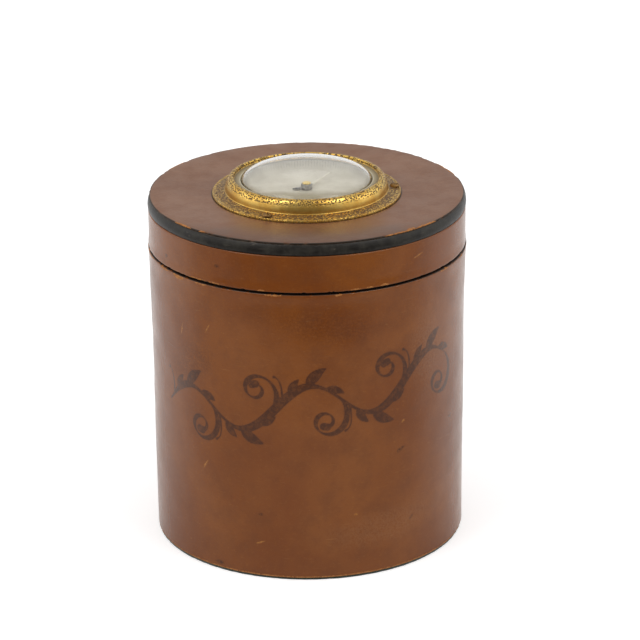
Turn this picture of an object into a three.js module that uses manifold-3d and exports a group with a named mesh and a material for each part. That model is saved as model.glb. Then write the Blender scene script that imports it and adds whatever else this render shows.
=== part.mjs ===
// A round leather-covered humidor jar with a lift-off lid and a dial hygrometer set in the lid.
// Millimetres, +Z up, origin in the middle of the foot, front towards -Y.

import * as THREE from 'three';
import { mergeVertices } from 'three/addons/utils/BufferGeometryUtils.js';
import Module from 'manifold-3d';

// Jar and lid
const OUTER_RADIUS = 70; // leather surface at the rim
const FOOT_RADIUS = 69.3; // leather surface at the foot, as the wall tapers very slightly
const RIM_HEIGHT = 134.4; // top of the wooden wall, where the lid rests
const LID_TOP = 157.5; // upper face of the lid's leather disc
const LEATHER = 1.45; // leather wrap
const WALL = 5; // wooden wall
const CEDAR = 3; // cedar lining boards
const FELT = 1; // felt under the foot
const BASE_BOARD = 7; // wooden bottom
const NECK_RISE = 12.6; // cedar lining above the rim, which the lid slides over
const NECK_GAP = 0.3; // air between the neck and the lid's lining
const LID_PLAY = 0.5; // radial clearance of the lid on the neck
const LID_BOARD = 5.8; // wooden top of the lid
const LID_LEATHER = 1.15; // leather disc on the lid
const LID_LEATHER_EDGE = 0.6; // its edge, pared thin where it laps over the strip
const STRIP_HEIGHT = 5.35; // black leather strip round the edge of the lid
const STRIP_BULGE = 0.65; // how far the strip swells between its edges
const STRIP_JOINT_AZIMUTH = 12; // where the ends of the strip meet, in degrees from +X
const SKIRT_FLARE = 0.5; // lower edge of the lid's leather, pulled out by handling
const SEAM = 0.4; // open butt seam in the leather at the back

// Hygrometer
const FLANGE_RADIUS = 42.2; // bezel flange that is screwed to the lid
const FLANGE = 0.85; // thickness of the flange
const BEZEL_RADIUS = 36; // foot of the bezel's raised ring
const BEZEL_HEIGHT = 7; // top of the raised ring above the lid
const WINDOW_RADIUS = 32.25; // clear opening of the bezel
const LEDGE_RADIUS = 29.55; // opening of the bezel's inner ledge, which the dome rises through
const LEDGE_LEAN = 0.15; // how far the upper edge of the opening leans in towards the dome
const LEDGE_HEIGHT = 5.5; // top of the ledge above the lid
const GLASS_RADIUS = 33.9; // foot ring of the domed glass, held under the bezel's ledge
const GLASS = 1.4; // glass thickness
const GLASS_SEAT = 3.2; // lower face of the foot ring above the lid
const GLASS_RISE = 12.8; // top of the dome above the lid
const GLASS_EDGE = 29.4; // where the side of the dome meets the foot ring
const SPACER_FOOT = 23.5; // inner edge of the dished ring between dial and glass
const SPACER_BRIM = 27.75; // outside of its upright brim, which stands inside the glass
const SPACER_BRIM_WIDTH = 0.45;
const SPACER_HEIGHT = 4.9; // top of the brim above the lid
const DIAL_TOP = 1; // dial surface above the lid
const DIAL = 0.4; // dial plate
const CASE_RADIUS = 31.2; // drum under the dial
const CASE_DEPTH = 9.6; // drum below the lid's leather
const CASE_WALL = 0.8; // sheet brass of the drum
const CASE_LIP = 0.5; // lip of the drum, clamped between lid and dial
const POINTER_AZIMUTH = 50; // reading shown, in degrees from +X
const POINTER_BEND = 30; // turn between the line of the arm and that of the tail
const POINTER_LENGTH = 17;
const POINTER_TAIL = 6.5;
const POINTER_LIFT = 0.15; // upward set of the long arm, per millimetre of length
const COLLAR_RADIUS = 2.45; // boss that carries the pointer
const COLLAR_TOP = 1.45; // its upper face above the dial
const COLLAR_CLEARANCE = 0.2; // its lower face above the dial
const CAP_RADIUS = 1.88; // brass button on the boss
const CAP_HEIGHT = 0.45;
const SPIRAL_TURNS = 5.5; // humidity-sensitive ribbon
const SPIRAL_PITCH = 2.5;
const RIBBON = 0.6; // thickness of the ribbon
const RIBBON_HEIGHT = 4;
const ARBOR_RADIUS = 0.8;
const PIVOT_RADIUS = 0.55; // lower end of the arbor, in the floor of the drum
const COLLET_RADIUS = 3; // collar that carries the inner end of the ribbon
const BRIDGE_REACH = 22; // half the span of the bridge over the ribbon
const BRIDGE_HEIGHT = 7.3;
const BRIDGE_STRAP = 0.8;
const BRIDGE_SCREW_REACH = 24.6; // its screws, either side of the arbor

// Moistener and air grille under the lid
const TRAY_INNER = 40;
const TRAY_OUTER = 58;
const TRAY_DEPTH = 8.3;
const TRAY_FLANGE = 2.6; // flange towards the middle that carries the screws
const SHEET = 0.6; // sheet brass of the tray
const TRAY_HOLE = 2.2;
const TRAY_HOLE_CIRCLES = [46, 52];
const TRAY_HOLES_IN_ROW = 12;
const GRILLE_RADIUS = 36.5;
const GRILLE = 1;
const GRILLE_PITCH = 9.5; // spacing of the grille's rings of holes
const GRILLE_HOLE = 2.6;

// Slotted round-head screws
const BEZEL_SCREW = { headRadius: 2.1, headHeight: 1.4, shankRadius: 1, length: 6.4 };
const BRIDGE_SCREW = { headRadius: 1.5, headHeight: 1, shankRadius: 0.8, length: 1.5 };
const GRILLE_SCREW = { headRadius: 1.6, headHeight: 1, shankRadius: 0.8, length: 3.6 };
const TRAY_SCREW = { headRadius: 1.2, headHeight: 0.9, shankRadius: 0.8, length: 3.2 };
const BEZEL_SCREW_AZIMUTHS = [-116, 5, 125]; // degrees from +X
const TRAY_SCREW_AZIMUTHS = [0, 120, 240];
const GRILLE_SCREW_AZIMUTHS = [60, 180, 300];

// Fits
const SEAT = 0.05; // glue line or seat between pieces that are fixed to each other
const RUNNING = 0.08; // radial clearance of the arbor in its bearings
const SCREW_CLEARANCE = 0.3;

// Facets round a full turn
const JAR_FACETS = 52;
const DIAL_FACETS = 40;
const SMALL_FACETS = 12;
const TINY_FACETS = 8;

// Radii and heights that follow from the sizes above
const coreRadius = OUTER_RADIUS - LEATHER - SEAT;
const coreFootRadius = FOOT_RADIUS - LEATHER - SEAT;
const wallInner = coreRadius - WALL;
const liningRadius = wallInner - 2 * SEAT;
const liningInner = liningRadius - CEDAR;
const foot = FELT + SEAT;
const liningFoot = foot + BASE_BOARD + SEAT;
const neckTop = RIM_HEIGHT + NECK_RISE;
const lidFoot = RIM_HEIGHT + 2 * SEAT;
const lidInner = liningRadius + LID_PLAY;
const boardTop = LID_TOP - LID_LEATHER - SEAT;
const boardFoot = boardTop - LID_BOARD;
const lidLiningTop = boardFoot - SEAT;
const lidLiningFoot = neckTop + NECK_GAP;
const stripTop = LID_TOP - LID_LEATHER_EDGE;
const stripFoot = stripTop - STRIP_HEIGHT;
const lidHole = CASE_RADIUS + 0.5;
const caseFoot = LID_TOP - CASE_DEPTH;
const caseFloor = caseFoot + CASE_WALL;
const dialTop = LID_TOP + DIAL_TOP;
const glassFoot = LID_TOP + GLASS_SEAT;
const glassTop = LID_TOP + GLASS_RISE;
const arborTop = dialTop + COLLAR_TOP - 0.15;
const caseLip = LID_TOP + SEAT + CASE_LIP;
const caseLipRadius = GLASS_RADIUS + 1.2;
const screwCircle = (FLANGE_RADIUS + BEZEL_RADIUS) / 2 + 0.1;
const bridgeTop = caseFloor + BRIDGE_HEIGHT;
const spiralFoot = caseFloor + 1.5;
const grilleTop = lidLiningFoot - SEAT;
const grilleFoot = grilleTop - GRILLE;
const grilleScrewCircle = (lidHole + GRILLE_RADIUS) / 2;
const trayTop = lidLiningFoot - SEAT;
const trayFoot = trayTop - TRAY_DEPTH;
const trayScrewCircle = TRAY_INNER - TRAY_FLANGE / 2;

const wasm = await Module();
wasm.setup();

// Solids and cuts

function solid(geometry) {
  const bare = geometry.clone();
  bare.deleteAttribute('normal');
  bare.deleteAttribute('uv');
  const merged = mergeVertices(bare, 1e-4);
  const vertProperties = Float32Array.from(merged.attributes.position.array);
  const triVerts = Uint32Array.from(merged.index.array);
  return new wasm.Manifold(new wasm.Mesh({ numProp: 3, vertProperties, triVerts }));
}

function geometryOf(manifold) {
  const mesh = manifold.getMesh();
  const geometry = new THREE.BufferGeometry();
  geometry.setAttribute('position', new THREE.BufferAttribute(mesh.vertProperties, 3));
  geometry.setIndex(new THREE.BufferAttribute(mesh.triVerts, 1));
  geometry.computeVertexNormals();
  return geometry;
}

function cut(geometry, cutters) {
  const cutOnce = (left, cutter) => left.subtract(solid(cutter));
  return geometryOf(cutters.reduce(cutOnce, solid(geometry)));
}

function join(first, second) {
  return geometryOf(solid(first).add(solid(second)));
}

// A body turned about Z from [radius, height] points that run counterclockwise.
function turned(points, facets) {
  const profile = points.map(([radius, height]) => new THREE.Vector2(radius, height));
  return new THREE.LatheGeometry(profile, facets).rotateX(Math.PI / 2);
}

// A turned body whose closed section is drawn with lines and curves.
function turnedPath(path, facets) {
  path.closePath();
  const points = path.getPoints(4).map((point) => [point.x, point.y]);
  return turned(points, facets);
}

function disc(radius, bottom, top, facets) {
  return turned([[0, bottom], [radius, bottom], [radius, top], [0, top]], facets);
}

function ring(inner, outer, bottom, top, facets) {
  return turned([[inner, bottom], [outer, bottom], [outer, top], [inner, top], [inner, bottom]], facets);
}

function polar(radius, degrees) {
  const angle = THREE.MathUtils.degToRad(degrees);
  return [radius * Math.cos(angle), radius * Math.sin(angle)];
}

// A round cutter along Z.
function drill(radius, bottom, top, [x, y], facets = SMALL_FACETS) {
  const cutter = new THREE.CylinderGeometry(radius, radius, top - bottom, facets);
  return cutter.rotateX(Math.PI / 2).translate(x, y, (bottom + top) / 2);
}

// A thin upright cutter that opens a ring at one azimuth.
function slit(width, bottom, top, degrees) {
  const depth = 8;
  const blade = new THREE.BoxGeometry(depth, width, top - bottom + 2);
  blade.translate(OUTER_RADIUS, 0, (bottom + top) / 2);
  return blade.rotateZ(THREE.MathUtils.degToRad(degrees));
}

// Clearance hole for a screw.
function screwHole({ shankRadius }, bottom, top, place) {
  return drill(shankRadius + SCREW_CLEARANCE, bottom, top, place, TINY_FACETS);
}

// Slotted round-head screw: seat of the head at z = 0, head above, shank below.
function roundHeadScrew({ headRadius, headHeight, shankRadius, length }, facets = TINY_FACETS) {
  const body = turned([
    [0, -length],
    [shankRadius, -length + 1.5 * shankRadius],
    [shankRadius, 0],
    [headRadius, 0],
    [0.92 * headRadius, 0.5 * headHeight],
    [0.55 * headRadius, 0.92 * headHeight],
    [0, headHeight],
  ], facets);
  const slot = new THREE.BoxGeometry(3 * headRadius, 0.3 * headRadius, headHeight);
  slot.translate(0, 0, 1.1 * headHeight);
  return cut(body, [slot]);
}

// Jar

function baseFelt() {
  return disc(FOOT_RADIUS - 0.4, 0, FELT, JAR_FACETS);
}

function baseBoard() {
  return disc(liningRadius, foot, foot + BASE_BOARD, JAR_FACETS);
}

function bodyCore() {
  return turned([
    [wallInner, foot],
    [coreFootRadius, foot],
    [coreRadius, RIM_HEIGHT],
    [wallInner, RIM_HEIGHT],
    [wallInner, foot],
  ], JAR_FACETS);
}

function bodyLeather() {
  const top = RIM_HEIGHT - 0.3;
  const wrap = turned([
    [FOOT_RADIUS - LEATHER, foot],
    [FOOT_RADIUS - 0.2, foot],
    [FOOT_RADIUS, foot + 0.5],
    [OUTER_RADIUS, top - 0.9],
    [OUTER_RADIUS - 0.4, top],
    [OUTER_RADIUS - LEATHER, top],
    [FOOT_RADIUS - LEATHER, foot],
  ], JAR_FACETS);
  return cut(wrap, [slit(SEAM, foot, top, 90)]);
}

function cedarFloor() {
  return disc(liningInner - SEAT, liningFoot, liningFoot + CEDAR, JAR_FACETS);
}

function cedarLining() {
  const chamfer = 0.8;
  return turned([
    [liningInner, liningFoot],
    [liningRadius, liningFoot],
    [liningRadius, neckTop - chamfer],
    [liningRadius - chamfer, neckTop],
    [liningInner, neckTop],
    [liningInner, liningFoot],
  ], JAR_FACETS);
}

// Lid

function lidRing() {
  const leadIn = 1;
  return turned([
    [lidInner + leadIn, lidFoot],
    [coreRadius, lidFoot],
    [coreRadius, boardFoot - SEAT],
    [lidInner, boardFoot - SEAT],
    [lidInner, lidFoot + leadIn],
    [lidInner + leadIn, lidFoot],
  ], JAR_FACETS);
}

function bezelScrewHoles(bottom, top) {
  const places = BEZEL_SCREW_AZIMUTHS.map((azimuth) => polar(screwCircle, azimuth));
  return places.map((place) => screwHole(BEZEL_SCREW, bottom, top, place));
}

function lidTopBoard() {
  const board = ring(lidHole, coreRadius, boardFoot, boardTop, JAR_FACETS);
  return cut(board, bezelScrewHoles(boardFoot - 1, boardTop + 1));
}

function lidTopLeather() {
  const skived = stripTop + SEAT;
  const edge = OUTER_RADIUS - 0.25;
  const sheet = turned([
    [lidHole, LID_TOP - LID_LEATHER],
    [coreRadius - SEAT, LID_TOP - LID_LEATHER],
    [coreRadius - SEAT, skived],
    [edge - 0.15, skived],
    [edge, skived + 0.25],
    [edge - 0.4, LID_TOP],
    [lidHole, LID_TOP],
    [lidHole, LID_TOP - LID_LEATHER],
  ], JAR_FACETS);
  return cut(sheet, bezelScrewHoles(LID_TOP - 3, LID_TOP + 1));
}

function lidSkirtLeather() {
  const bottom = RIM_HEIGHT + 0.7;
  const top = stripFoot - SEAT;
  const inner = OUTER_RADIUS - LEATHER;
  const wrap = turned([
    [inner, bottom],
    [OUTER_RADIUS - 0.1, bottom],
    [OUTER_RADIUS + SKIRT_FLARE, bottom + 0.5],
    [OUTER_RADIUS, bottom + 4],
    [OUTER_RADIUS, top - 0.5],
    [OUTER_RADIUS - 0.3, top],
    [inner, top],
    [inner, bottom],
  ], JAR_FACETS);
  return cut(wrap, [slit(SEAM, bottom, top, 90)]);
}

function lidEdgeStrip() {
  const inner = OUTER_RADIUS - LEATHER;
  const atFoot = OUTER_RADIUS + 0.1;
  const atTop = OUTER_RADIUS - 0.9;
  const steps = 5;
  const outside = [];
  for (let step = 0; step <= steps; step += 1) {
    const share = step / steps;
    const swell = STRIP_BULGE * 4 * share * (1 - share);
    outside.push([atFoot + (atTop - atFoot) * share + swell, stripFoot + STRIP_HEIGHT * share]);
  }
  const strip = turned([[inner, stripFoot], ...outside, [inner, stripTop], [inner, stripFoot]], JAR_FACETS);
  return cut(strip, [slit(SEAM, stripFoot, stripTop, STRIP_JOINT_AZIMUTH)]);
}

function lidLining() {
  const board = ring(lidHole, lidInner - 2 * SEAT, lidLiningFoot, lidLiningTop, JAR_FACETS);
  const places = [
    ...GRILLE_SCREW_AZIMUTHS.map((azimuth) => polar(grilleScrewCircle, azimuth)),
    ...TRAY_SCREW_AZIMUTHS.map((azimuth) => polar(trayScrewCircle, azimuth)),
  ];
  const hole = (place) => screwHole(GRILLE_SCREW, lidLiningFoot - 1, lidLiningTop + 1, place);
  return cut(board, places.map(hole));
}

// Hygrometer housing

function hygrometerBezel() {
  const crown = LID_TOP + BEZEL_HEIGHT;
  const ledge = LID_TOP + LEDGE_HEIGHT;
  const ledgeFoot = glassFoot + GLASS + 0.1;
  const recess = caseLip + 0.07;
  const seat = GLASS_RADIUS + 0.3;
  const section = new THREE.Path();
  section.moveTo(caseLipRadius + 0.1, LID_TOP + SEAT);
  section.lineTo(FLANGE_RADIUS, LID_TOP + SEAT);
  section.lineTo(FLANGE_RADIUS, LID_TOP + 0.5);
  section.lineTo(FLANGE_RADIUS - 0.4, LID_TOP + FLANGE);
  section.lineTo(BEZEL_RADIUS + 0.7, LID_TOP + FLANGE);
  section.lineTo(BEZEL_RADIUS, LID_TOP + FLANGE + 0.7);
  section.lineTo(BEZEL_RADIUS - 0.35, crown - 2.4);
  section.quadraticCurveTo(BEZEL_RADIUS - 0.5, crown, BEZEL_RADIUS - 2.2, crown);
  section.lineTo(WINDOW_RADIUS + 0.5, crown - 0.2);
  section.lineTo(WINDOW_RADIUS, crown - 0.65);
  section.lineTo(WINDOW_RADIUS, ledge);
  section.lineTo(LEDGE_RADIUS - LEDGE_LEAN, ledge);
  section.lineTo(LEDGE_RADIUS, ledgeFoot);
  section.lineTo(seat, ledgeFoot);
  section.lineTo(seat, recess);
  section.lineTo(caseLipRadius + 0.1, recess);
  return cut(turnedPath(section, DIAL_FACETS), bezelScrewHoles(LID_TOP - 1, LID_TOP + 1.5));
}

// Points of the half-ellipse of the dome at a depth below its outer face, from its middle to its foot.
function dome(depth) {
  const base = glassFoot + GLASS;
  const rise = glassTop - base;
  const steps = 8;
  const points = [];
  for (let step = 0; step <= steps; step += 1) {
    const turn = (Math.PI / 2) * (step / steps);
    const across = Math.sin(turn);
    const up = Math.cos(turn);
    const outward = new THREE.Vector2(across / GLASS_EDGE, up / rise).normalize();
    points.push([GLASS_EDGE * across - depth * outward.x, base + rise * up - depth * outward.y]);
  }
  return points;
}

function hygrometerGlass() {
  const inside = dome(GLASS);
  const [footInner] = inside.at(-1);
  return turned([
    ...inside,
    [footInner, glassFoot],
    [GLASS_RADIUS, glassFoot],
    [GLASS_RADIUS, glassFoot + GLASS],
    ...dome(0).reverse(),
  ], DIAL_FACETS);
}

// Ring that holds the glass off the dial, curving up from the dial to a brim inside the glass.
function glassSpacer() {
  const outer = GLASS_RADIUS + 0.2;
  const bottom = dialTop + SEAT;
  const seat = glassFoot - SEAT;
  const brimTop = LID_TOP + SPACER_HEIGHT;
  const section = new THREE.Path();
  section.moveTo(SPACER_FOOT, bottom);
  section.lineTo(outer, bottom);
  section.lineTo(outer, seat);
  section.lineTo(SPACER_BRIM, seat);
  section.lineTo(SPACER_BRIM, brimTop);
  section.lineTo(SPACER_BRIM - SPACER_BRIM_WIDTH, brimTop);
  section.quadraticCurveTo(SPACER_BRIM - SPACER_BRIM_WIDTH, bottom, SPACER_FOOT, bottom);
  return turnedPath(section, DIAL_FACETS);
}

function dial() {
  return ring(1.4, GLASS_RADIUS, dialTop - DIAL, dialTop, DIAL_FACETS);
}

function bridgeScrewHoles() {
  const places = [[BRIDGE_SCREW_REACH, 0], [-BRIDGE_SCREW_REACH, 0]];
  return places.map((place) => screwHole(BRIDGE_SCREW, caseFoot - 1, caseFloor + 3, place));
}

function hygrometerCase() {
  const inner = CASE_RADIUS - CASE_WALL;
  const pivotHole = PIVOT_RADIUS + RUNNING;
  const drum = turned([
    [pivotHole, caseFoot],
    [CASE_RADIUS, caseFoot],
    [CASE_RADIUS, LID_TOP + SEAT],
    [caseLipRadius, LID_TOP + SEAT],
    [caseLipRadius, caseLip],
    [inner, caseLip],
    [inner, caseFloor],
    [pivotHole, caseFloor],
    [pivotHole, caseFoot],
  ], DIAL_FACETS);
  const ventCircle = 15;
  const ventRadius = 3.2;
  const vents = [];
  for (let vent = 0; vent < 6; vent += 1) {
    const place = polar(ventCircle, 60 * vent);
    vents.push(drill(ventRadius, caseFoot - 1, caseFloor + 1, place, TINY_FACETS));
  }
  return cut(drum, [...vents, ...bridgeScrewHoles()]);
}

// Hygrometer movement

// A strap bent over the ribbon, with a foot at each end and the upper bearing in the middle.
function movementBridge() {
  const thick = BRIDGE_STRAP;
  const width = 6;
  const bend = 1.6;
  const footEnd = BRIDGE_REACH + 5;
  const floor = caseFloor + SEAT;
  const side = new THREE.Shape();
  side.moveTo(footEnd, floor);
  side.lineTo(footEnd, floor + thick);
  side.lineTo(BRIDGE_REACH, floor + thick);
  side.lineTo(BRIDGE_REACH, bridgeTop - bend);
  side.quadraticCurveTo(BRIDGE_REACH, bridgeTop, BRIDGE_REACH - bend, bridgeTop);
  side.lineTo(bend - BRIDGE_REACH, bridgeTop);
  side.quadraticCurveTo(-BRIDGE_REACH, bridgeTop, -BRIDGE_REACH, bridgeTop - bend);
  side.lineTo(-BRIDGE_REACH, floor + thick);
  side.lineTo(-footEnd, floor + thick);
  side.lineTo(-footEnd, floor);
  side.lineTo(thick - BRIDGE_REACH, floor);
  side.lineTo(thick - BRIDGE_REACH, bridgeTop - bend);
  side.lineTo(bend - BRIDGE_REACH, bridgeTop - thick);
  side.lineTo(BRIDGE_REACH - bend, bridgeTop - thick);
  side.lineTo(BRIDGE_REACH - thick, bridgeTop - bend);
  side.lineTo(BRIDGE_REACH - thick, floor);
  const strap = new THREE.ExtrudeGeometry(side, { depth: width, bevelEnabled: false, curveSegments: 3 });
  strap.translate(0, 0, -width / 2).rotateX(Math.PI / 2);
  const bearing = drill(ARBOR_RADIUS + 1.25 * RUNNING, bridgeTop - 3, bridgeTop + 3, [0, 0], 16);
  return cut(strap, [bearing, ...bridgeScrewHoles()]);
}

function arbor() {
  return turned([
    [0, caseFoot + SEAT],
    [PIVOT_RADIUS, caseFoot + SEAT],
    [PIVOT_RADIUS, caseFloor + SEAT],
    [ARBOR_RADIUS, caseFloor + SEAT],
    [ARBOR_RADIUS, arborTop],
    [0, arborTop],
  ], SMALL_FACETS);
}

function spiralCollet() {
  const margin = 0.2;
  const top = spiralFoot + RIBBON_HEIGHT + margin;
  return ring(ARBOR_RADIUS + SEAT, COLLET_RADIUS, spiralFoot - margin, top, SMALL_FACETS);
}

// Middle line of the ribbon: an even spiral from the collet out to the anchor post.
function spiralPoint(turn) {
  const radius = COLLET_RADIUS + 2 * SEAT + RIBBON / 2 + SPIRAL_PITCH * turn;
  return polar(radius, 360 * turn - 90);
}

function spiralElement() {
  const stepsPerTurn = 16;
  const steps = SPIRAL_TURNS * stepsPerTurn;
  const line = [];
  for (let step = 0; step <= steps; step += 1) {
    line.push(new THREE.Vector2(...spiralPoint(step / stepsPerTurn)));
  }
  const offset = (point, distance) => point.clone().setLength(point.length() + distance);
  const outerEdge = line.map((point) => offset(point, RIBBON / 2));
  const innerEdge = line.map((point) => offset(point, -RIBBON / 2)).reverse();
  const ribbon = new THREE.Shape([...outerEdge, ...innerEdge]);
  const geometry = new THREE.ExtrudeGeometry(ribbon, { depth: RIBBON_HEIGHT, bevelEnabled: false });
  let leastGap = Infinity;
  for (let first = 0; first < line.length; first += 1) {
    for (let second = first + stepsPerTurn / 2; second < line.length; second += 1) {
      leastGap = Math.min(leastGap, line[first].distanceTo(line[second]) - RIBBON);
    }
  }
  console.log(`least gap between turns of the ribbon: ${leastGap.toFixed(2)} mm`);
  return geometry.translate(0, 0, spiralFoot);
}

function anchorPost() {
  const radius = 1.2;
  const [x, y] = spiralPoint(SPIRAL_TURNS);
  const post = disc(radius, caseFloor + SEAT, spiralFoot + RIBBON_HEIGHT + 0.4, SMALL_FACETS);
  return post.translate(x, y + RIBBON / 2 + 2 * SEAT + radius, 0);
}

// Hand with a lance-shaped tail and a thin long arm that is set slightly upwards, on a collar.
function pointer() {
  const bore = ARBOR_RADIUS + SEAT;
  const thick = 0.4;
  const root = 1.3;
  const bottom = dialTop + 0.5;
  const collar = ring(bore, COLLAR_RADIUS, dialTop + COLLAR_CLEARANCE, dialTop + COLLAR_TOP, SMALL_FACETS);
  const halfWidths = [
    [-POINTER_TAIL, 0.2],
    [-0.72 * POINTER_TAIL, 0.95],
    [-root, 0.6],
    [root, 0.6],
    [0.5 * POINTER_LENGTH, 0.4],
    [POINTER_LENGTH, 0.12],
  ];
  const armTurn = THREE.MathUtils.degToRad(POINTER_AZIMUTH);
  const tailTurn = THREE.MathUtils.degToRad(POINTER_AZIMUTH - POINTER_BEND);
  const hub = new THREE.Vector2();
  const corner = (along, across) =>
    new THREE.Vector2(along, across).rotateAround(hub, along > 0 ? armTurn : tailTurn);
  const near = halfWidths.map(([along, half]) => corner(along, -half));
  const far = halfWidths.map(([along, half]) => corner(along, half)).reverse();
  const outline = new THREE.Shape([...near, ...far]);
  const hand = new THREE.ExtrudeGeometry(outline, { depth: thick, bevelEnabled: false });
  const places = hand.attributes.position;
  for (let index = 0; index < places.count; index += 1) {
    const reach = places.getX(index) * Math.cos(armTurn) + places.getY(index) * Math.sin(armTurn);
    const lift = POINTER_LIFT * Math.max(0, reach - root);
    places.setZ(index, places.getZ(index) + bottom + lift);
  }
  return join(collar, cut(hand, [drill(bore, bottom - 1, bottom + 1, [0, 0])]));
}

function pointerCap() {
  const seat = dialTop + COLLAR_TOP + SEAT;
  const chamfer = 0.15;
  return turned([
    [0, seat],
    [CAP_RADIUS, seat],
    [CAP_RADIUS, seat + CAP_HEIGHT - chamfer],
    [CAP_RADIUS - chamfer, seat + CAP_HEIGHT],
    [0, seat + CAP_HEIGHT],
  ], SMALL_FACETS);
}

// Air grille and moistener

function airGrille() {
  const plate = disc(GRILLE_RADIUS, grilleFoot, grilleTop, DIAL_FACETS);
  const airHole = (place) => drill(GRILLE_HOLE, grilleFoot - 1, grilleTop + 1, place, TINY_FACETS);
  const holes = [airHole([0, 0])];
  for (let row = 1; row <= 2; row += 1) {
    const count = 6 * row;
    for (let hole = 0; hole < count; hole += 1) {
      holes.push(airHole(polar(GRILLE_PITCH * row, (360 * hole) / count)));
    }
  }
  for (const azimuth of GRILLE_SCREW_AZIMUTHS) {
    holes.push(screwHole(GRILLE_SCREW, grilleFoot - 1, grilleTop + 1, polar(grilleScrewCircle, azimuth)));
  }
  return cut(plate, holes);
}

function moistenerTray() {
  const channel = turned([
    [TRAY_INNER, trayFoot],
    [TRAY_OUTER, trayFoot],
    [TRAY_OUTER, trayTop],
    [TRAY_OUTER - SHEET, trayTop],
    [TRAY_OUTER - SHEET, trayFoot + SHEET],
    [TRAY_INNER + SHEET, trayFoot + SHEET],
    [TRAY_INNER + SHEET, trayTop],
    [TRAY_INNER - TRAY_FLANGE, trayTop],
    [TRAY_INNER - TRAY_FLANGE, trayTop - SHEET],
    [TRAY_INNER, trayTop - SHEET],
    [TRAY_INNER, trayFoot],
  ], DIAL_FACETS);
  const holes = [];
  TRAY_HOLE_CIRCLES.forEach((circle, row) => {
    for (let hole = 0; hole < TRAY_HOLES_IN_ROW; hole += 1) {
      const place = polar(circle, (360 * (hole + row / 2)) / TRAY_HOLES_IN_ROW);
      holes.push(drill(TRAY_HOLE, trayFoot - 1, trayFoot + 2 * SHEET, place, TINY_FACETS));
    }
  });
  for (const azimuth of TRAY_SCREW_AZIMUTHS) {
    holes.push(screwHole(TRAY_SCREW, trayTop - 2, trayTop + 1, polar(trayScrewCircle, azimuth)));
  }
  return cut(channel, holes);
}

function moistenerPad() {
  const inner = TRAY_INNER + SHEET + 0.4;
  const outer = TRAY_OUTER - SHEET - 0.4;
  const bottom = trayFoot + SHEET + 0.3;
  const top = trayTop - 0.4;
  return ring(inner, outer, bottom, top, DIAL_FACETS);
}

// Finishes: colour, roughness, metalness and, where it lets light through, opacity

const SADDLE_LEATHER = [0x7a4a24, 0.5, 0];
const BLACK_LEATHER = [0x2c2622, 0.4, 0];
const BEECH = [0xb58a5a, 0.75, 0];
const CEDAR_WOOD = [0x9c6238, 0.7, 0];
const GREEN_FELT = [0x27382c, 0.95, 0];
const AGED_BRASS = [0xa87f35, 0.4, 1];
const BRIGHT_BRASS = [0xc9a14c, 0.3, 1];
const CLEAR_GLASS = [0xe8eeea, 0.05, 0, 0.3];
const DIAL_PAINT = [0xbebcb5, 0.6, 0];
const DARK_STEEL = [0x2b2a28, 0.45, 0.9];
const WHITE_PAD = [0xd8d2c2, 0.95, 0];

const humidor = new THREE.Group();

function add(name, geometry, [color, roughness, metalness, opacity = 1]) {
  const look = { color, roughness, metalness, opacity, transparent: opacity < 1 };
  const material = new THREE.MeshStandardMaterial(look);
  const mesh = new THREE.Mesh(geometry, material);
  mesh.name = name;
  humidor.add(mesh);
  return mesh;
}

// Jar
add('base_felt', baseFelt(), GREEN_FELT);
add('base_board', baseBoard(), BEECH);
add('body_core', bodyCore(), BEECH);
add('body_leather', bodyLeather(), SADDLE_LEATHER);
add('cedar_floor', cedarFloor(), CEDAR_WOOD);
add('cedar_lining', cedarLining(), CEDAR_WOOD);

// Lid
add('lid_ring', lidRing(), BEECH);
add('lid_top_board', lidTopBoard(), BEECH);
add('lid_skirt_leather', lidSkirtLeather(), SADDLE_LEATHER);
add('lid_edge_strip', lidEdgeStrip(), BLACK_LEATHER);
add('lid_top_leather', lidTopLeather(), SADDLE_LEATHER);
add('lid_lining', lidLining(), CEDAR_WOOD);

// Hygrometer
add('hygrometer_bezel', hygrometerBezel(), AGED_BRASS);
add('hygrometer_glass', hygrometerGlass(), CLEAR_GLASS);
add('glass_spacer', glassSpacer(), DIAL_PAINT);
add('dial', dial(), DIAL_PAINT);
add('hygrometer_case', hygrometerCase(), AGED_BRASS);
add('movement_bridge', movementBridge(), BRIGHT_BRASS);
add('arbor', arbor(), DARK_STEEL);
add('spiral_collet', spiralCollet(), BRIGHT_BRASS);
add('spiral_element', spiralElement(), BRIGHT_BRASS);
add('anchor_post', anchorPost(), BRIGHT_BRASS);
add('pointer', pointer(), DARK_STEEL);
add('pointer_cap', pointerCap(), BRIGHT_BRASS);

[1, -1].forEach((side, index) => {
  const screw = add(`bridge_screw_${index + 1}`, roundHeadScrew(BRIDGE_SCREW), BRIGHT_BRASS);
  screw.position.set(side * BRIDGE_SCREW_REACH, 0, caseFloor + BRIDGE_STRAP + 2 * SEAT);
  screw.rotation.z = 0.7 * side;
});

BEZEL_SCREW_AZIMUTHS.forEach((azimuth, index) => {
  const screw = add(`bezel_screw_${index + 1}`, roundHeadScrew(BEZEL_SCREW, SMALL_FACETS), AGED_BRASS);
  screw.position.set(...polar(screwCircle, azimuth), LID_TOP + FLANGE + SEAT);
  screw.rotation.z = 0.5 + 1.3 * index;
});

// Air grille and moistener
add('air_grille', airGrille(), AGED_BRASS);
add('moistener_tray', moistenerTray(), AGED_BRASS);
add('moistener_pad', moistenerPad(), WHITE_PAD);

GRILLE_SCREW_AZIMUTHS.forEach((azimuth, index) => {
  const screw = add(`grille_screw_${index + 1}`, roundHeadScrew(GRILLE_SCREW), AGED_BRASS);
  screw.position.set(...polar(grilleScrewCircle, azimuth), grilleFoot - SEAT);
  screw.rotation.set(Math.PI, 0, 0.4 + index);
});

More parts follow.
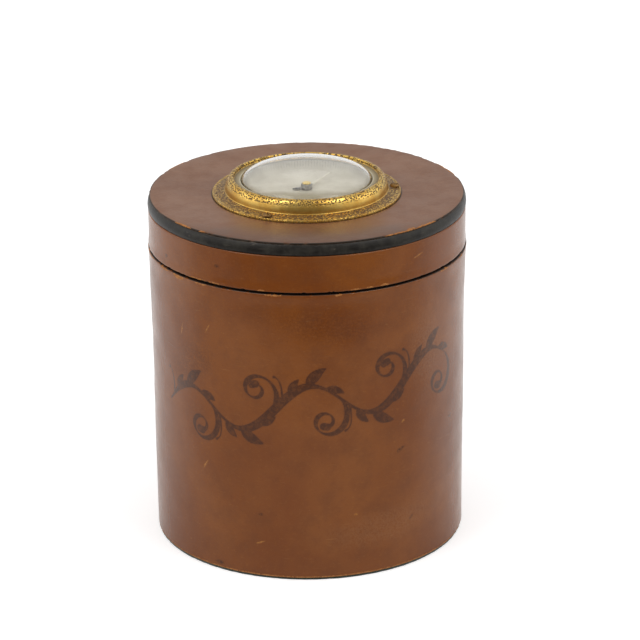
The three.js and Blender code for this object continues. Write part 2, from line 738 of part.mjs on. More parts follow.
TRAY_SCREW_AZIMUTHS.forEach((azimuth, index) => {
  const screw = add(`tray_screw_${index + 1}`, roundHeadScrew(TRAY_SCREW), AGED_BRASS);
  screw.position.set(...polar(trayScrewCircle, azimuth), trayTop - SHEET - SEAT);
  screw.rotation.set(Math.PI, 0, 0.9 + index);
});

export default humidor;
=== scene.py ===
"""Looks of the leather-covered humidor jar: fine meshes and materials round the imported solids.

Everything is in metres in the frame of the solids: +Z up, front towards -Y.
Azimuths are in radians from +X, counterclockwise, as seen from above.
"""

from math import atan2, ceil, copysign, cos, hypot, pi, radians, sin, sqrt

import bmesh
import bpy
import numpy as np
from mathutils import Matrix, Vector


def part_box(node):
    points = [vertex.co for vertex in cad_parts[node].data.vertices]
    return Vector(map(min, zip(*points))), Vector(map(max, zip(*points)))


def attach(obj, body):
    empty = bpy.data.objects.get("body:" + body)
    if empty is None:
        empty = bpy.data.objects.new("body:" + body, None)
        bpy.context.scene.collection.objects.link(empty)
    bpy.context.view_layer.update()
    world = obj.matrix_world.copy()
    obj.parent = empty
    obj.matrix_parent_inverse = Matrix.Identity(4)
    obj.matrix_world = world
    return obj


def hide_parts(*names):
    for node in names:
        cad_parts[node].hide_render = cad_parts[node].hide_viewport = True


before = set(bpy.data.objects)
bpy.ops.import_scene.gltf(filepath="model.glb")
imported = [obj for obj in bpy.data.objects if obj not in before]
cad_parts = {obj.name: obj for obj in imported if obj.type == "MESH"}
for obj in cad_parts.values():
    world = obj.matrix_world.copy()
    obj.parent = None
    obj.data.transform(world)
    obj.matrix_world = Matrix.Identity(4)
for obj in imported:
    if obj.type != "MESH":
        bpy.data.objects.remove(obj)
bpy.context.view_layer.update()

MM = 0.001
TURN = 2.0 * pi
FRONT = -pi / 2.0
BACK = pi / 2.0
WELD = 1e-7

# Camera, fitted to the ellipses of the rim, lid and foot
CAMERA_PLACE = (0.0, -1.4686, 0.6545)
CAMERA_PITCH = radians(20.82)
CAMERA_YAW = radians(0.21)
CAMERA_ROLL = radians(-0.54)
CAMERA_LENS = 196.9
CAMERA_SENSOR = 36.0


# Sizes read from the solids

def extent(node):
    """Radius, foot and top of a round solid."""
    low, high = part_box(node)
    return high.x, low.z, high.z


JAR_RADIUS, JAR_FOOT, JAR_RIM = extent("body_leather")
FELT_RADIUS = extent("base_felt")[0]
CORE_RADIUS, _, CORE_TOP = extent("body_core")
LINING_RADIUS, LINING_FOOT, NECK_TOP = extent("cedar_lining")
_, SKIRT_FOOT, SKIRT_TOP = extent("lid_skirt_leather")
_, STRIP_FOOT, STRIP_TOP = extent("lid_edge_strip")
LID_LEATHER_RADIUS, LID_LEATHER_FOOT, LID_TOP = extent("lid_top_leather")
_, LID_RING_FOOT, LID_RING_TOP = extent("lid_ring")
BEZEL_REACH, BEZEL_FOOT, BEZEL_TOP = extent("hygrometer_bezel")
GLASS_RADIUS, GLASS_FOOT, GLASS_TOP = extent("hygrometer_glass")
SPACER_RADIUS, SPACER_FOOT, SPACER_TOP = extent("glass_spacer")
DIAL_TOP = extent("dial")[2]
CAP_RADIUS, CAP_SEAT, CAP_END = extent("pointer_cap")
TRAY_RADIUS, TRAY_FOOT, TRAY_TOP = extent("moistener_tray")
PAD_OUTER, PAD_FOOT, PAD_TOP = extent("moistener_pad")

# Sizes that the boxes don't give
LEATHER = 1.45 * MM
LEATHER_INSIDE = JAR_RADIUS - LEATHER
FOOT_TAPER = 0.7 * MM
RIM_FLARE = 0.5 * MM
RIM_LIP = 0.3 * MM
SKIRT_SWELL = 0.42 * MM
SKIRT_FLARE = 0.2 * MM
STRIP_JOINT = radians(12.0)
STRIP_SWELL = 0.65 * MM
STRIP_SPRING = 0.7 * MM
STRIP_SPRING_SPAN = radians(26.0)
SEAM_HALF = 0.35 * MM
SEAM_DEPTH = 0.8 * LEATHER
NEAR_SEAM = 3.0 * SEAM_HALF
FRONT_HALF = 82.0 * MM
CORE_WALL = 5.0 * MM
LINING_WALL = 3.0 * MM
LINING_JOINT = radians(110.0)
LID_PLAY = 0.5 * MM
LID_HOLE = 31.7 * MM
LID_DISH = 0.85 * MM
FLANGE_RADIUS = BEZEL_REACH - 0.4 * MM
FLANGE_FOOT = BEZEL_FOOT - LID_DISH
FLANGE_TOP = FLANGE_FOOT + 0.85 * MM
BEAD = 0.15 * MM
RING_FOOT = LID_TOP + 1.1 * MM
CASE_TOP = LID_TOP + 0.62 * MM
BEZEL_RADIUS = 36.0 * MM
BEZEL_BORE = 34.2 * MM
CASE_RECESS = 35.2 * MM
WINDOW_RADIUS = 32.25 * MM
LEDGE_RADIUS = 29.55 * MM
LEDGE_LEAN = 0.3 * MM
LEDGE_TOP = LID_TOP + 5.5 * MM
DOME_RADIUS = 29.4 * MM
DOME_FOOT = GLASS_FOOT + 1.4 * MM
DOME_SHELL = 1.25 * MM
SPACER_BRIM = 27.9 * MM
SPACER_LIP = 0.45 * MM
SPACER_HOLE = 23.5 * MM
DIAL_HOLE = 1.4 * MM
ARBOR_RADIUS = 0.8 * MM
POINTER_AZIMUTH = radians(50.0)
POINTER_BEND = radians(30.0)
POINTER_LENGTH = 17.0 * MM
POINTER_TAIL = 6.5 * MM
POINTER_HUB = 1.3 * MM
POINTER_LIFT = 0.15
COLLAR_RADIUS = 2.45 * MM
COLLAR_FOOT = DIAL_TOP + 0.2 * MM
CAP_LIFT = 0.7 * MM
CAP_FOOT = CAP_SEAT + CAP_LIFT
CAP_TOP = CAP_END + CAP_LIFT
PAD_INNER = 41.0 * MM
SHEET = 0.6 * MM
TRAY_WIDTH = 18.0 * MM
TRAY_FLANGE = 2.6 * MM
TRAY_HOLE = 2.2 * MM
TRAY_HOLE_CIRCLES = (46.0 * MM, 52.0 * MM)
TRAY_HOLES_IN_ROW = 12
GRILLE_HOLE = 2.6 * MM
GRILLE_PITCH = 9.5 * MM


# Mesh helpers

def smoothstep(low, high, value):
    share = np.clip((value - low) / (high - low), 0.0, 1.0)
    return share * share * (3.0 - 2.0 * share)


def wrapped(angle):
    """The same angle, between minus and plus half a turn."""
    return (angle + pi) % TURN - pi


def polar(radius, azimuth):
    return radius * cos(azimuth), radius * sin(azimuth)


def dense(points, step):
    """The same outline with points no further apart than step."""
    made = []
    for (radius, height), (next_radius, next_height) in zip(points[:-1], points[1:]):
        across = next_radius - radius
        along = next_height - height
        count = max(1, ceil(hypot(across, along) / step))
        shares = [index / count for index in range(count)]
        made += [(radius + across * share, height + along * share) for share in shares]
    return made + [points[-1]]


def rounded(corners, steps=4):
    """A closed outline from corners of (radius, height, cut), with a curve in place of each corner.

    The cut is how far from the corner its curve starts and ends, in millimetres.
    """
    points = [Vector(corner[:2]) for corner in corners]
    made = []
    for index, here in enumerate(points):
        size = corners[index][2] * MM
        if size <= 0.0:
            made.append(tuple(here))
            continue
        start = here + (points[index - 1] - here).normalized() * size
        end = here + (points[(index + 1) % len(points)] - here).normalized() * size
        for step in range(steps + 1):
            share = step / steps
            made.append(tuple(start.lerp(here, share).lerp(here.lerp(end, share), share)))
    return made


def even_azimuths(count):
    return np.arange(count) / count * TURN


def fine_azimuths(coarse, *spans):
    """Azimuths round a full turn at a coarse step, with spans of (middle, half width, finer step).

    The middle is an azimuth. The steps and the half width are arcs on the jar's wall.
    """
    coarse = coarse / JAR_RADIUS
    spans = [(middle, half / JAR_RADIUS, step / JAR_RADIUS) for middle, half, step in spans]
    values = [even_azimuths(int(TURN / coarse))]
    values += [np.arange(middle - half, middle + half, step) for middle, half, step in spans]
    every = np.unique(np.round(np.concatenate(values) % TURN, 6))
    inside = np.zeros(len(every), bool)
    for middle, half, _ in spans:
        inside |= np.abs(wrapped(every - middle)) < half
    keep = [0]
    for index in range(1, len(every)):
        if inside[index] or every[index] - every[keep[-1]] > 0.6 * coarse:
            keep.append(index)
    return every[keep]


def turned(outline, azimuths, shape=None, closed=True):
    """Points and quads of an outline turned about Z; shape(radius, height, azimuth) may move the points.

    The outline runs counterclockwise, radius first, and an open one starts and ends on the axis.
    """
    outline = np.array(outline, float)
    rows = len(outline)
    columns = len(azimuths)
    azimuth = np.tile(azimuths, rows)
    radius = np.repeat(outline[:, 0], columns)
    height = np.repeat(outline[:, 1], columns)
    if shape is not None:
        radius, height = shape(radius, height, azimuth)
    places = np.stack([radius * np.cos(azimuth), radius * np.sin(azimuth), height], 1)
    row, column = np.meshgrid(np.arange(rows if closed else rows - 1), np.arange(columns), indexing="ij")
    here = row * columns
    above = (row + 1) % rows * columns
    beside = (column + 1) % columns
    corners = [here + column, here + beside, above + beside, above + column]
    return places, np.stack([corner.ravel() for corner in corners], 1)


def mesh_of(name, places, faces, **shares):
    """A mesh whose points on the axis are welded, with an attribute for each of the shares."""
    mesh = bpy.data.meshes.new(name)
    mesh.from_pydata([tuple(place) for place in places], [], [tuple(face) for face in faces])
    if np.min(np.hypot(places[:, 0], places[:, 1])) < WELD:
        shape = bmesh.new()
        shape.from_mesh(mesh)
        bmesh.ops.remove_doubles(shape, verts=shape.verts, dist=WELD)
        shape.to_mesh(mesh)
        shape.free()
    mesh.update()
    for key, values in shares.items():
        layer = mesh.attributes.new(key, "FLOAT", "POINT")
        layer.data.foreach_set("value", np.asarray(values, np.float32))
    return mesh


def turned_mesh(name, outline, azimuths, shape=None, closed=True):
    return mesh_of(name, *turned(outline, azimuths, shape, closed))


def add_object(name, data):
    made = bpy.data.objects.new(name, data)
    bpy.context.scene.collection.objects.link(made)
    return made


def piece(mesh, material, body, node, sharp=40):
    """A smooth-shaded mesh that rides on a body and stands for a solid; sharp is an angle in degrees."""
    mesh.shade_smooth()
    mesh.set_sharp_from_angle(angle=radians(sharp))
    mesh.materials.append(material)
    made = add_object(mesh.name, mesh)
    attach(made, body)
    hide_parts(node)
    return made


def uneven(azimuth, height, random, *layers):
    """A smooth random surface, periodic in azimuth.

    Each layer is the rise and the size of its lumps, in millimetres, and how many waves make them.
    """
    total = np.zeros_like(azimuth)
    for rise, size, count in layers:
        most_waves = max(1, int(TURN * JAR_RADIUS / (size * MM)))
        for _ in range(count):
            around = random.randint(1, most_waves + 1)
            along = random.uniform(-1.0, 1.0) * TURN / (size * MM)
            phase = random.uniform(0.0, TURN)
            total += rise * MM / sqrt(count) * np.cos(around * azimuth + along * height + phase)
    return total


def nicks(azimuth, count, width, depth, random):
    """Depth of random notches along a round edge; width in radians, depth in millimetres."""
    total = np.zeros_like(azimuth)
    for _ in range(count):
        middle = random.uniform(0.0, TURN)
        wide = width * random.uniform(0.4, 1.6)
        deep = depth * MM * random.uniform(0.2, 1.0)
        total += deep * np.exp(-((wrapped(azimuth - middle) / wide) ** 4))
    return np.minimum(total, depth * MM)


# Node helpers

class Nodes:
    """A small writer for the node tree of a material or of the world."""

    def __init__(self, owner, kind):
        self.owner = owner
        owner.use_nodes = True
        self.tree = owner.node_tree
        self.tree.nodes.clear()
        self.output = self.tree.nodes.new("ShaderNodeOutput" + kind)

    def put(self, socket, value):
        if isinstance(value, Value):
            self.tree.links.new(value.socket, socket)
        elif value is not None:
            socket.default_value = value

    def make(self, kind, inputs, output=0, **settings):
        """Adds a node with its settings and inputs, and gives one of its outputs."""
        node = self.tree.nodes.new("ShaderNode" + kind)
        for key, value in settings.items():
            setattr(node, key, value)
        for key, value in inputs.items():
            self.put(node.inputs[key], value)
        return Value(self, node.outputs[output])

    def math(self, operation, first, second=None, clamp=False):
        return self.make("Math", {0: first, 1: second}, operation=operation, use_clamp=clamp)

    def join(self, x, y):
        return self.make("CombineXYZ", {0: x, 1: y})

    def mix(self, share, first, second):
        return self.make("Mix", {0: share, 6: first, 7: second}, 2, data_type="RGBA", clamp_factor=True)

    def attribute(self, name):
        return self.make("Attribute", {}, "Fac", attribute_name=name)

    def rays(self, kind):
        """1 for rays of one kind, 0 for the others."""
        return self.make("LightPath", {}, f"Is {kind} Ray")

    def surface(self, shader):
        self.put(self.output.inputs["Surface"], shader)
        return self.owner

    def finish(self, colour, roughness, normal=None, **settings):
        """Links a Principled shader and gives the material."""
        inputs = {"Base Color": colour, "Roughness": roughness, "Normal": normal}
        for key, value in settings.items():
            inputs[key.replace("_", " ")] = value
        return self.surface(self.make("BsdfPrincipled", inputs))


class Value:
    """An output in a node tree. Arithmetic with it adds nodes to the tree."""

    def __init__(self, nodes, socket):
        self.nodes = nodes
        self.socket = socket

    def __add__(self, other):
        return self.nodes.math("ADD", self, other)

    def __sub__(self, other):
        return self.nodes.math("SUBTRACT", self, other)

    def __rsub__(self, other):
        return self.nodes.math("SUBTRACT", other, self)

    def __mul__(self, other):
        return self.nodes.math("MULTIPLY", self, other)

    def __pow__(self, other):
        return self.nodes.math("POWER", self, other)

    def __abs__(self):
        return self.nodes.math("ABSOLUTE", self)

    def most(self, other):
        """The larger of the two."""
        return self.nodes.math("MAXIMUM", self, other)

    def span(self, low, high, to_low=0.0, to_high=1.0):
        """A smooth step from to_low, where this is low, to to_high, where it is high."""
        inputs = {"Value": self, "From Min": low, "From Max": high, "To Min": to_low, "To Max": to_high}
        return self.nodes.make("MapRange", inputs, "Result", interpolation_type="SMOOTHSTEP")

    def mix(self, first, second):
        """The first colour where this is 0, the second where it is 1."""
        return self.nodes.mix(self, first, second)

    def noise(self, scale, detail, roughness, distortion=0.0):
        inputs = {"Vector": self, "Scale": scale, "Detail": detail, "Roughness": roughness}
        return self.nodes.make("TexNoise", {**inputs, "Distortion": distortion}, "Fac")

    def cells(self, scale, dimensions="3D"):
        """Distance to the nearest of the scattered points."""
        inputs = {"Vector": self, "Scale": scale}
        return self.nodes.make("TexVoronoi", inputs, "Distance", voronoi_dimensions=dimensions)

    def stretch(self, scale, turn=0.0, place=(0.0, 0.0, 0.0), kind="POINT"):
        """This place scaled, turned about Z by degrees and moved."""
        inputs = {"Vector": self, "Location": place, "Rotation": (0.0, 0.0, radians(turn)), "Scale": scale}
        return self.nodes.make("Mapping", inputs, vector_type=kind)

    def parts(self):
        split = self.nodes.make("SeparateXYZ", {0: self}).socket.node
        return [Value(self.nodes, socket) for socket in split.outputs]

    def unrolled(self):
        """Arc length from the front, height and radius of this place, in millimetres."""
        x, y, z = self.parts()
        angle = self.nodes.math("ARCTAN2", x, y * -1.0)
        return angle * (JAR_RADIUS / MM), z, (x ** 2.0 + y ** 2.0) ** 0.5

    def bump(self, distance):
        """A normal from this height, for the given height of a full step."""
        return self.nodes.make("Bump", {"Strength": 1.0, "Distance": distance, "Height": self}, "Normal")


def new_material(name):
    """The nodes of a new material, and the place on the object in millimetres."""
    nodes = Nodes(bpy.data.materials.new(name), "Material")
    place = nodes.make("TexCoord", {}, "Object")
    return nodes, nodes.make("VectorMath", {0: place, "Scale": 1.0 / MM}, operation="SCALE")


def srgb(red, green, blue):
    """A colour written as it looks on screen, 0 to 255, for a shader."""
    def linear(value):
        share = value / 255.0
        return share / 12.92 if share <= 0.04045 else ((share + 0.055) / 1.055) ** 2.4
    return (linear(red), linear(green), linear(blue), 1.0)


def grey(value):
    return (value, value, value, 1.0)


def tinted(colour, *layers):
    """A colour under layers of (share, screen colour)."""
    for share, tint in layers:
        colour = share.mix(colour, srgb(*tint))
    return colour


# Leather

# Marks on the walls: arc from the front, height, half length and half width in millimetres,
# and tilt in degrees
WALL_MARKS = {
    "scuff": [(-63.0, 109.5, 3.2, 0.55, 75.0), (-47.0, 113.5, 2.6, 0.3, 60.0),
              (-50.0, 49.0, 3.0, 0.5, 55.0), (-22.5, 17.0, 2.4, 0.5, 20.0),
              (20.5, 30.0, 0.9, 0.6, 0.0), (44.0, 70.0, 1.2, 0.7, 30.0)],
    "stain": [(42.5, 57.0, 3.0, 1.0, 25.0), (49.0, 23.0, 2.0, 0.8, 40.0), (78.0, 62.0, 1.6, 1.0, 0.0),
              (-43.0, 3.5, 2.5, 1.0, 0.0), (-22.0, 30.5, 1.2, 0.8, 0.0)],
    "shade": [(8.0, 119.0, 26.0, 9.0, -8.0), (-58.0, 96.0, 17.0, 10.0, 20.0)],
    "bloom": [(34.0, 22.0, 30.0, 9.0, 5.0), (58.0, 100.0, 12.0, 20.0, 10.0)],
}
SKIRT_MARKS = {
    "stain": [(-41.0, 143.5, 1.4, 1.0, 0.0), (-74.0, 140.0, 1.6, 1.0, 30.0)],
    "scuff": [(52.0, 145.0, 3.0, 0.4, 15.0)],
}
# Share and screen colour of each kind of mark
MARK_TINTS = {
    "scuff": (0.85, (170, 112, 48)),
    "stain": (0.8, (48, 25, 14)),
    "shade": (0.4, (82, 40, 16)),
    "bloom": (0.3, (142, 96, 62)),
}
WARM_SHINE = (1.0, 0.9, 0.78, 1.0)


def mark_mask(place, across, along, half_length, half_width, tilt):
    """1 inside an elongated mark, fading towards its edge."""
    inside = place.stretch((half_length, half_width, 1.0), tilt, (across, along, 0.0), "TEXTURE")
    return place.nodes.make("VectorMath", {0: inside}, "Value", operation="LENGTH").span(1.25, 0.35)


def scratches(place, along, across, turn, width):
    """Thin broken lines: where a stretched noise crosses its middle value."""
    stretched = place.stretch((along, across, 1.0), turn)
    line = abs(stretched.noise(1.0, 2.0, 0.4) - 0.5).span(width, 0.0)
    return line * stretched.noise(2.7, 2.0, 0.5).span(0.56, 0.68)


def saddle_leather(name, marks, inked=False, flat=False, shine=0.5):
    """Old smooth brown leather: clouds, pores, scratches, marks, raw worn edges, grime with painted shade
    at the edges and, on the jar, ink; on the lid's top, painted shade towards the front and round the
    bezel's flange.
    """
    nodes, place = new_material(name)
    arc, height, radius = place.unrolled()
    unrolled = nodes.join(arc, height)
    lie = place if flat else unrolled

    clouds = place.noise(0.02, 3.0, 0.55, 0.5)
    mottle = place.noise(0.11, 5.0, 0.6)
    speckle = place.noise(1.3, 4.0, 0.65)
    flecks = lie.stretch((0.55, 0.9, 0.7)).noise(1.0, 5.0, 0.7, 0.8)
    pores = place.cells(0.8)
    scratch = scratches(lie, 0.028, 0.36, 55.0, 0.008)
    deep, light = ((113, 72, 46), (126, 85, 58)) if flat else ((113, 59, 21), (126, 71, 29))
    colour = tinted(
        clouds.span(0.32, 0.68).mix(srgb(*deep), srgb(*light)),
        (mottle.span(0.38, 0.74, 0.0, 0.4), (100, 52, 20)),
        (flecks.span(0.52, 0.78, 0.0, 0.4), (144, 88, 38)),
        (speckle.span(0.58, 0.78, 0.0, 0.4), (76, 40, 18)),
        (pores.span(0.16, 0.04, 0.0, 0.35), (62, 32, 15)),
        (scratch * 0.3, (158, 106, 58)),
    )
    grain = pores * 0.7 + speckle * 0.6 + mottle * 0.9 - scratch * 0.5

    ragged = place.noise(1.1, 4.0, 0.7).span(0.36, 0.6)
    for kind in marks:
        share, tint = MARK_TINTS[kind]
        for mark in marks[kind]:
            mask = mark_mask(unrolled, *mark) * (ragged * share)
            colour = tinted(colour, (mask, tint))
            if kind == "scuff":
                grain = grain - mask

    if inked:
        ink = nodes.attribute("ink")
        rubbed = place.noise(0.5, 5.0, 0.7).span(0.3, 0.6, 0.45, 0.82)
        outline = (1.0 - abs(ink * 2.0 - 1.3)).span(0.2, 0.9, 0.0, 0.3)
        cover = ink * nodes.math("ADD", rubbed, outline, clamp=True)
        colour = tinted(colour, (cover, (58, 32, 24)))

    worn = nodes.attribute("worn") + place.noise(0.9, 5.0, 0.75).span(0.3, 0.7, -0.7, 0.38)
    raw = speckle.span(0.35, 0.65).mix(srgb(176, 116, 58), srgb(140, 84, 36))
    # Grime and painted shade from the meshes: the black seam under the lid and the edge of the lid's disc.
    grime = nodes.attribute("grime").span(0.1, 0.9, 0.0, 0.95)
    if flat:
        # Painted shade: the lid's top darker towards its front edge.
        x, y, z = place.parts()
        shade = y + mottle.span(0.3, 0.7, -6.0, 6.0)
        colour = tinted(colour, (shade.span(-38.0, -62.0, 0.0, 0.75), (82, 48, 27)))
        # Painted shadow: a dark ring on the lid's leather round the foot of the bezel's flange.
        flange = FLANGE_RADIUS / MM
        grime = grime.most(radius.span(flange + 0.8, flange + 0.1, 0.0, 0.8))
    colour = tinted(colour, (grime, (17, 9, 6)))
    colour = worn.span(0.45, 0.65).mix(colour, raw)

    smooth, matt = (0.29, 0.4) if flat else (0.14, 0.27)
    rough = (mottle + speckle * 0.4).span(0.45, 0.95, smooth, matt)
    rough = rough.most(worn.span(0.4, 0.6, 0.0, 0.7)).most(grime * 0.6)
    normal = grain.bump(0.035 * MM)
    return nodes.finish(colour, rough, normal, Specular_IOR_Level=shine, Specular_Tint=WARM_SHINE)


def black_leather(name):
    """Polished black strip, rubbed brown along its upper edge, with a painted shadow line along its lower
    edge and small creases across it.
    """
    nodes, place = new_material(name)
    arc, height, radius = place.unrolled()
    unrolled = nodes.join(arc, height)
    mottle = place.noise(0.2, 5.0, 0.65)
    grain = place.noise(1.9, 4.0, 0.65)
    crease = unrolled.stretch((0.9, 0.12, 1.0)).noise(1.0, 4.0, 0.6)
    rubbed = scratches(unrolled, 0.05, 0.5, 8.0, 0.02)
    ragged = height + grain.span(0.3, 0.7, -0.3, 0.3)
    top = STRIP_TOP / MM
    foot = STRIP_FOOT / MM
    colour = tinted(
        mottle.span(0.35, 0.7).mix(srgb(30, 27, 24), srgb(48, 45, 39)),
        (rubbed * 0.5, (96, 86, 76)),
        (ragged.span(top - 0.7, top, 0.0, 0.4), (104, 76, 50)),
        # Painted shadow: a near-black line along the strip's lower edge, where it meets the skirt.
        (ragged.span(foot + 0.9, foot + 0.3, 0.0, 0.9), (16, 11, 8)),
    )
    bump = (crease * 0.8 + grain * 0.5).bump(0.08 * MM)
    return nodes.finish(colour, mottle.span(0.3, 0.75, 0.3, 0.46), bump, Specular_IOR_Level=0.22)


# Metal, glass and paint

def brass_clouds(place):
    return place.noise(0.2, 4.0, 0.6), place.noise(1.5, 4.0, 0.65)


def aged_brass(name, tarnish, crust=0.0):
    """Old brass under a brown film, pitted with dark dots."""
    nodes, place = new_material(name)
    coarse, fine = brass_clouds(place)
    film = fine.span(0.35, 0.65, -0.35, 0.35) + coarse.span(0.3, 0.7, tarnish - 0.1, tarnish + 0.1)
    dots = place.cells(0.95).span(0.36, 0.24) * coarse.span(0.4, 0.6, 0.2, 1.0)
    colour, rough, normal, metal = brass_look(nodes, coarse, fine, film, dots, crust)
    return nodes.finish(colour, rough, normal, Metallic=metal)


def brass_look(nodes, coarse, fine, film, dots, crust):
    """Colour, roughness, normal and metal of gold under a film, dots and a crust, each of 0 to 1."""
    gold = coarse.span(0.3, 0.7).mix(srgb(222, 172, 78), srgb(238, 200, 108))
    colour = tinted(gold, (film * 0.9, (132, 96, 54)), (dots * 0.9, (64, 40, 16)))
    brown = fine.span(0.35, 0.65).mix(srgb(86, 59, 34), srgb(116, 83, 50))
    colour = nodes.mix(crust, colour, brown)
    rough = (film.span(0.0, 0.8, 0.26, 0.44) + dots * 0.2).most(crust * 0.5)
    metal = dots.span(0.0, 1.0, 0.92, 0.4) * (1.0 - crust * 0.6)
    return colour, rough, (fine * 0.02 - dots).bump(0.07 * MM), metal


def bezel_metal(name):
    """Brass of the bezel: bright dotted crown, smooth darker wall, brown flange, dull olive inner ledge
    with painted shade under the crown's lip and a painted pale band at its inner edge.
    """
    nodes, place = new_material(name)
    arc, height, radius = place.unrolled()
    coarse, fine = brass_clouds(place)
    ring = BEZEL_RADIUS / MM
    edge = FLANGE_RADIUS / MM
    window = WINDOW_RADIUS / MM
    ledge = LEDGE_RADIUS / MM
    top = BEZEL_TOP / MM
    crown = height.span(top - 3.2, top - 1.8)
    flange = radius.span(ring + 0.2, ring + 0.5)
    rubbed = flange * radius.span(edge - 2.0, edge - 0.6)
    speck = place.noise(1.5, 3.0, 0.6) + radius.span(edge - 3.0, edge, -0.015, 0.05)
    speck = speck.span(0.5, 0.56)
    film = crown.span(0.0, 1.0, 0.3, 0.05) + flange * 0.5 - rubbed * 0.55 - speck * flange
    film = film + fine.span(0.35, 0.65, -0.06, 0.06)
    skin = nodes.join(arc * (BEZEL_RADIUS / JAR_RADIUS), height - radius)
    cell = skin.cells(0.85, "2D") + place.noise(0.7, 2.0, 0.5).span(0.35, 0.6, 0.1, 0.0)
    dull = radius.span(window + 0.05, window - 0.45)
    dots = cell.span(0.45, 0.34) * crown.most(flange * 0.6) * (1.0 - dull)
    crust = flange * (0.9 - rubbed * 0.35) * (1.0 - speck)
    colour, rough, normal, metal = brass_look(nodes, coarse, fine, film, dots, crust)
    # Painted shade: the ledge's olive darkens towards the crown's lip; painted light: a pale band along its
    # inner edge by the glass.
    olive = tinted(
        radius.span(ledge, window).mix(srgb(158, 145, 116), srgb(116, 100, 68)),
        (radius.span(ledge + 0.35, ledge), (196, 186, 160)),
    )
    colour = dull.mix(colour, olive)
    return nodes.finish(colour, rough.most(dull * 0.55), normal, Metallic=metal * (1.0 - dull))


def bright_brass(name, gold=(206, 160, 70), brown=(160, 112, 44)):
    nodes, place = new_material(name)
    colour = place.noise(0.5, 4.0, 0.6).span(0.3, 0.7).mix(srgb(*gold), srgb(*brown))
    lines = place.stretch((6.0, 0.4, 0.4)).noise(1.0, 3.0, 0.5)
    return nodes.finish(colour, lines.span(0.3, 0.7, 0.22, 0.4), lines.bump(0.01 * MM), Metallic=1.0)


def dark_steel(name):
    nodes, place = new_material(name)
    cloud = place.noise(0.9, 4.0, 0.65)
    colour = cloud.span(0.35, 0.7).mix(srgb(40, 38, 36), srgb(84, 76, 68))
    return nodes.finish(colour, cloud.span(0.3, 0.7, 0.34, 0.55), cloud.bump(0.02 * MM), Metallic=0.85)


def hand_steel(name):
    """Blued steel tail and hub, with the paint of the long arm gone pale."""
    nodes, place = new_material(name)
    x, y, z = place.parts()
    along = x * cos(POINTER_AZIMUTH) + y * sin(POINTER_AZIMUTH)
    cloud = place.noise(0.9, 4.0, 0.65)
    patches = cloud.span(0.35, 0.7)
    dark = patches.mix(srgb(84, 84, 86), srgb(108, 106, 104))
    worn = patches.mix(srgb(166, 164, 160), srgb(146, 143, 138))
    pale = patches.mix(srgb(226, 222, 208), srgb(210, 206, 192))
    colour = along.span(2.2, 5.0).mix(along.span(-4.0, -1.6).mix(dark, worn), pale)
    return nodes.finish(colour, cloud.span(0.3, 0.7, 0.34, 0.5), cloud.bump(0.02 * MM))


def clear_glass(name):
    """Old domed glass with a faint smear of dust."""
    nodes, place = new_material(name)
    rough = place.noise(0.12, 5.0, 0.65).span(0.45, 0.8, 0.0, 0.045)
    return nodes.finish(srgb(251, 250, 247), rough, Transmission_Weight=1.0, IOR=1.3)


def dial_paint(name):
    """Faded off-white paint with stains, a worn ring of graduations and painted shade: darker towards the
    rim and towards the front.
    """
    nodes, place = new_material(name)
    x, y, z = place.parts()
    arc, height, radius = place.unrolled()
    cloud = place.noise(0.09, 5.0, 0.6)
    fleck = place.noise(1.1, 4.0, 0.7)
    wander = cloud.span(0.3, 0.7, -2.0, 2.0)
    # Painted shade under the bezel: darker towards the rim, soonest at the front.
    rim = radius - y * 0.7 + wander
    stain = mark_mask(place, 10.5, -6.0, 5.0, 3.0, 20.0)
    graduation = nodes.math("FRACT", nodes.math("ARCTAN2", y, x) * (100.0 / radians(270.0)))
    tick = abs(graduation - 0.5).span(0.13, 0.05)
    band = radius.span(26.4, 26.7) * radius.span(29.0, 28.7)
    colour = tinted(
        cloud.span(0.32, 0.7).mix(srgb(219, 215, 203), srgb(202, 197, 184)),
        (fleck.span(0.62, 0.75, 0.0, 0.5), (128, 118, 96)),
        (rim.span(19.0, 31.0, 0.0, 0.85), (150, 134, 100)),
        # Painted shade: darker towards the front.
        ((y + wander).span(-1.0, -9.0, 0.0, 0.8), (150, 138, 108)),
        (stain * 0.45, (140, 150, 96)),
        (tick * band * fleck.span(0.35, 0.6, 0.1, 0.5), (96, 90, 78)),
    )
    return nodes.finish(colour, cloud.span(0.3, 0.7, 0.45, 0.62), fleck.bump(0.03 * MM))


# Wood, felt and cloth

def wood(name, pale, dark, pore, ring_scale, blackened=False):
    """Wood with the grain along Z: growth bands, pores, fibre and, at the rim, old dirt and painted shade
    of the seam's gap.
    """
    nodes, place = new_material(name)
    warp = place.stretch((0.03, 0.03, 0.006)).noise(1.0, 3.0, 0.5)
    bands = place.stretch((ring_scale, ring_scale, 0.012)).noise(1.0, 3.0, 0.6, 0.6)
    fibre = place.stretch((2.4, 2.4, 0.05)).noise(1.0, 4.0, 0.6)
    pores = place.stretch((3.2, 3.2, 0.16)).noise(1.0, 2.0, 0.5)
    colour = tinted(
        bands.span(0.3, 0.7).mix(srgb(*pale), srgb(*dark)),
        (warp.span(0.3, 0.7, 0.0, 0.35), pore),
        (fibre.span(0.45, 0.75, 0.0, 0.35), dark),
        (pores.span(0.62, 0.72, 0.0, 0.7), pore),
    )
    if blackened:
        arc, level, radius = place.unrolled()
        # Dirt and painted shade: the wood that shows in the seam's gap is blackened.
        dirt_and_shade = abs(level - (JAR_RIM / MM + 0.4)).span(1.6, 1.0) * radius.span(65.9, 66.7)
        colour = tinted(colour, (dirt_and_shade, (28, 17, 11)))
    height = fibre - pores.span(0.6, 0.72)
    return nodes.finish(colour, fibre.span(0.3, 0.7, 0.5, 0.7), height.bump(0.06 * MM))


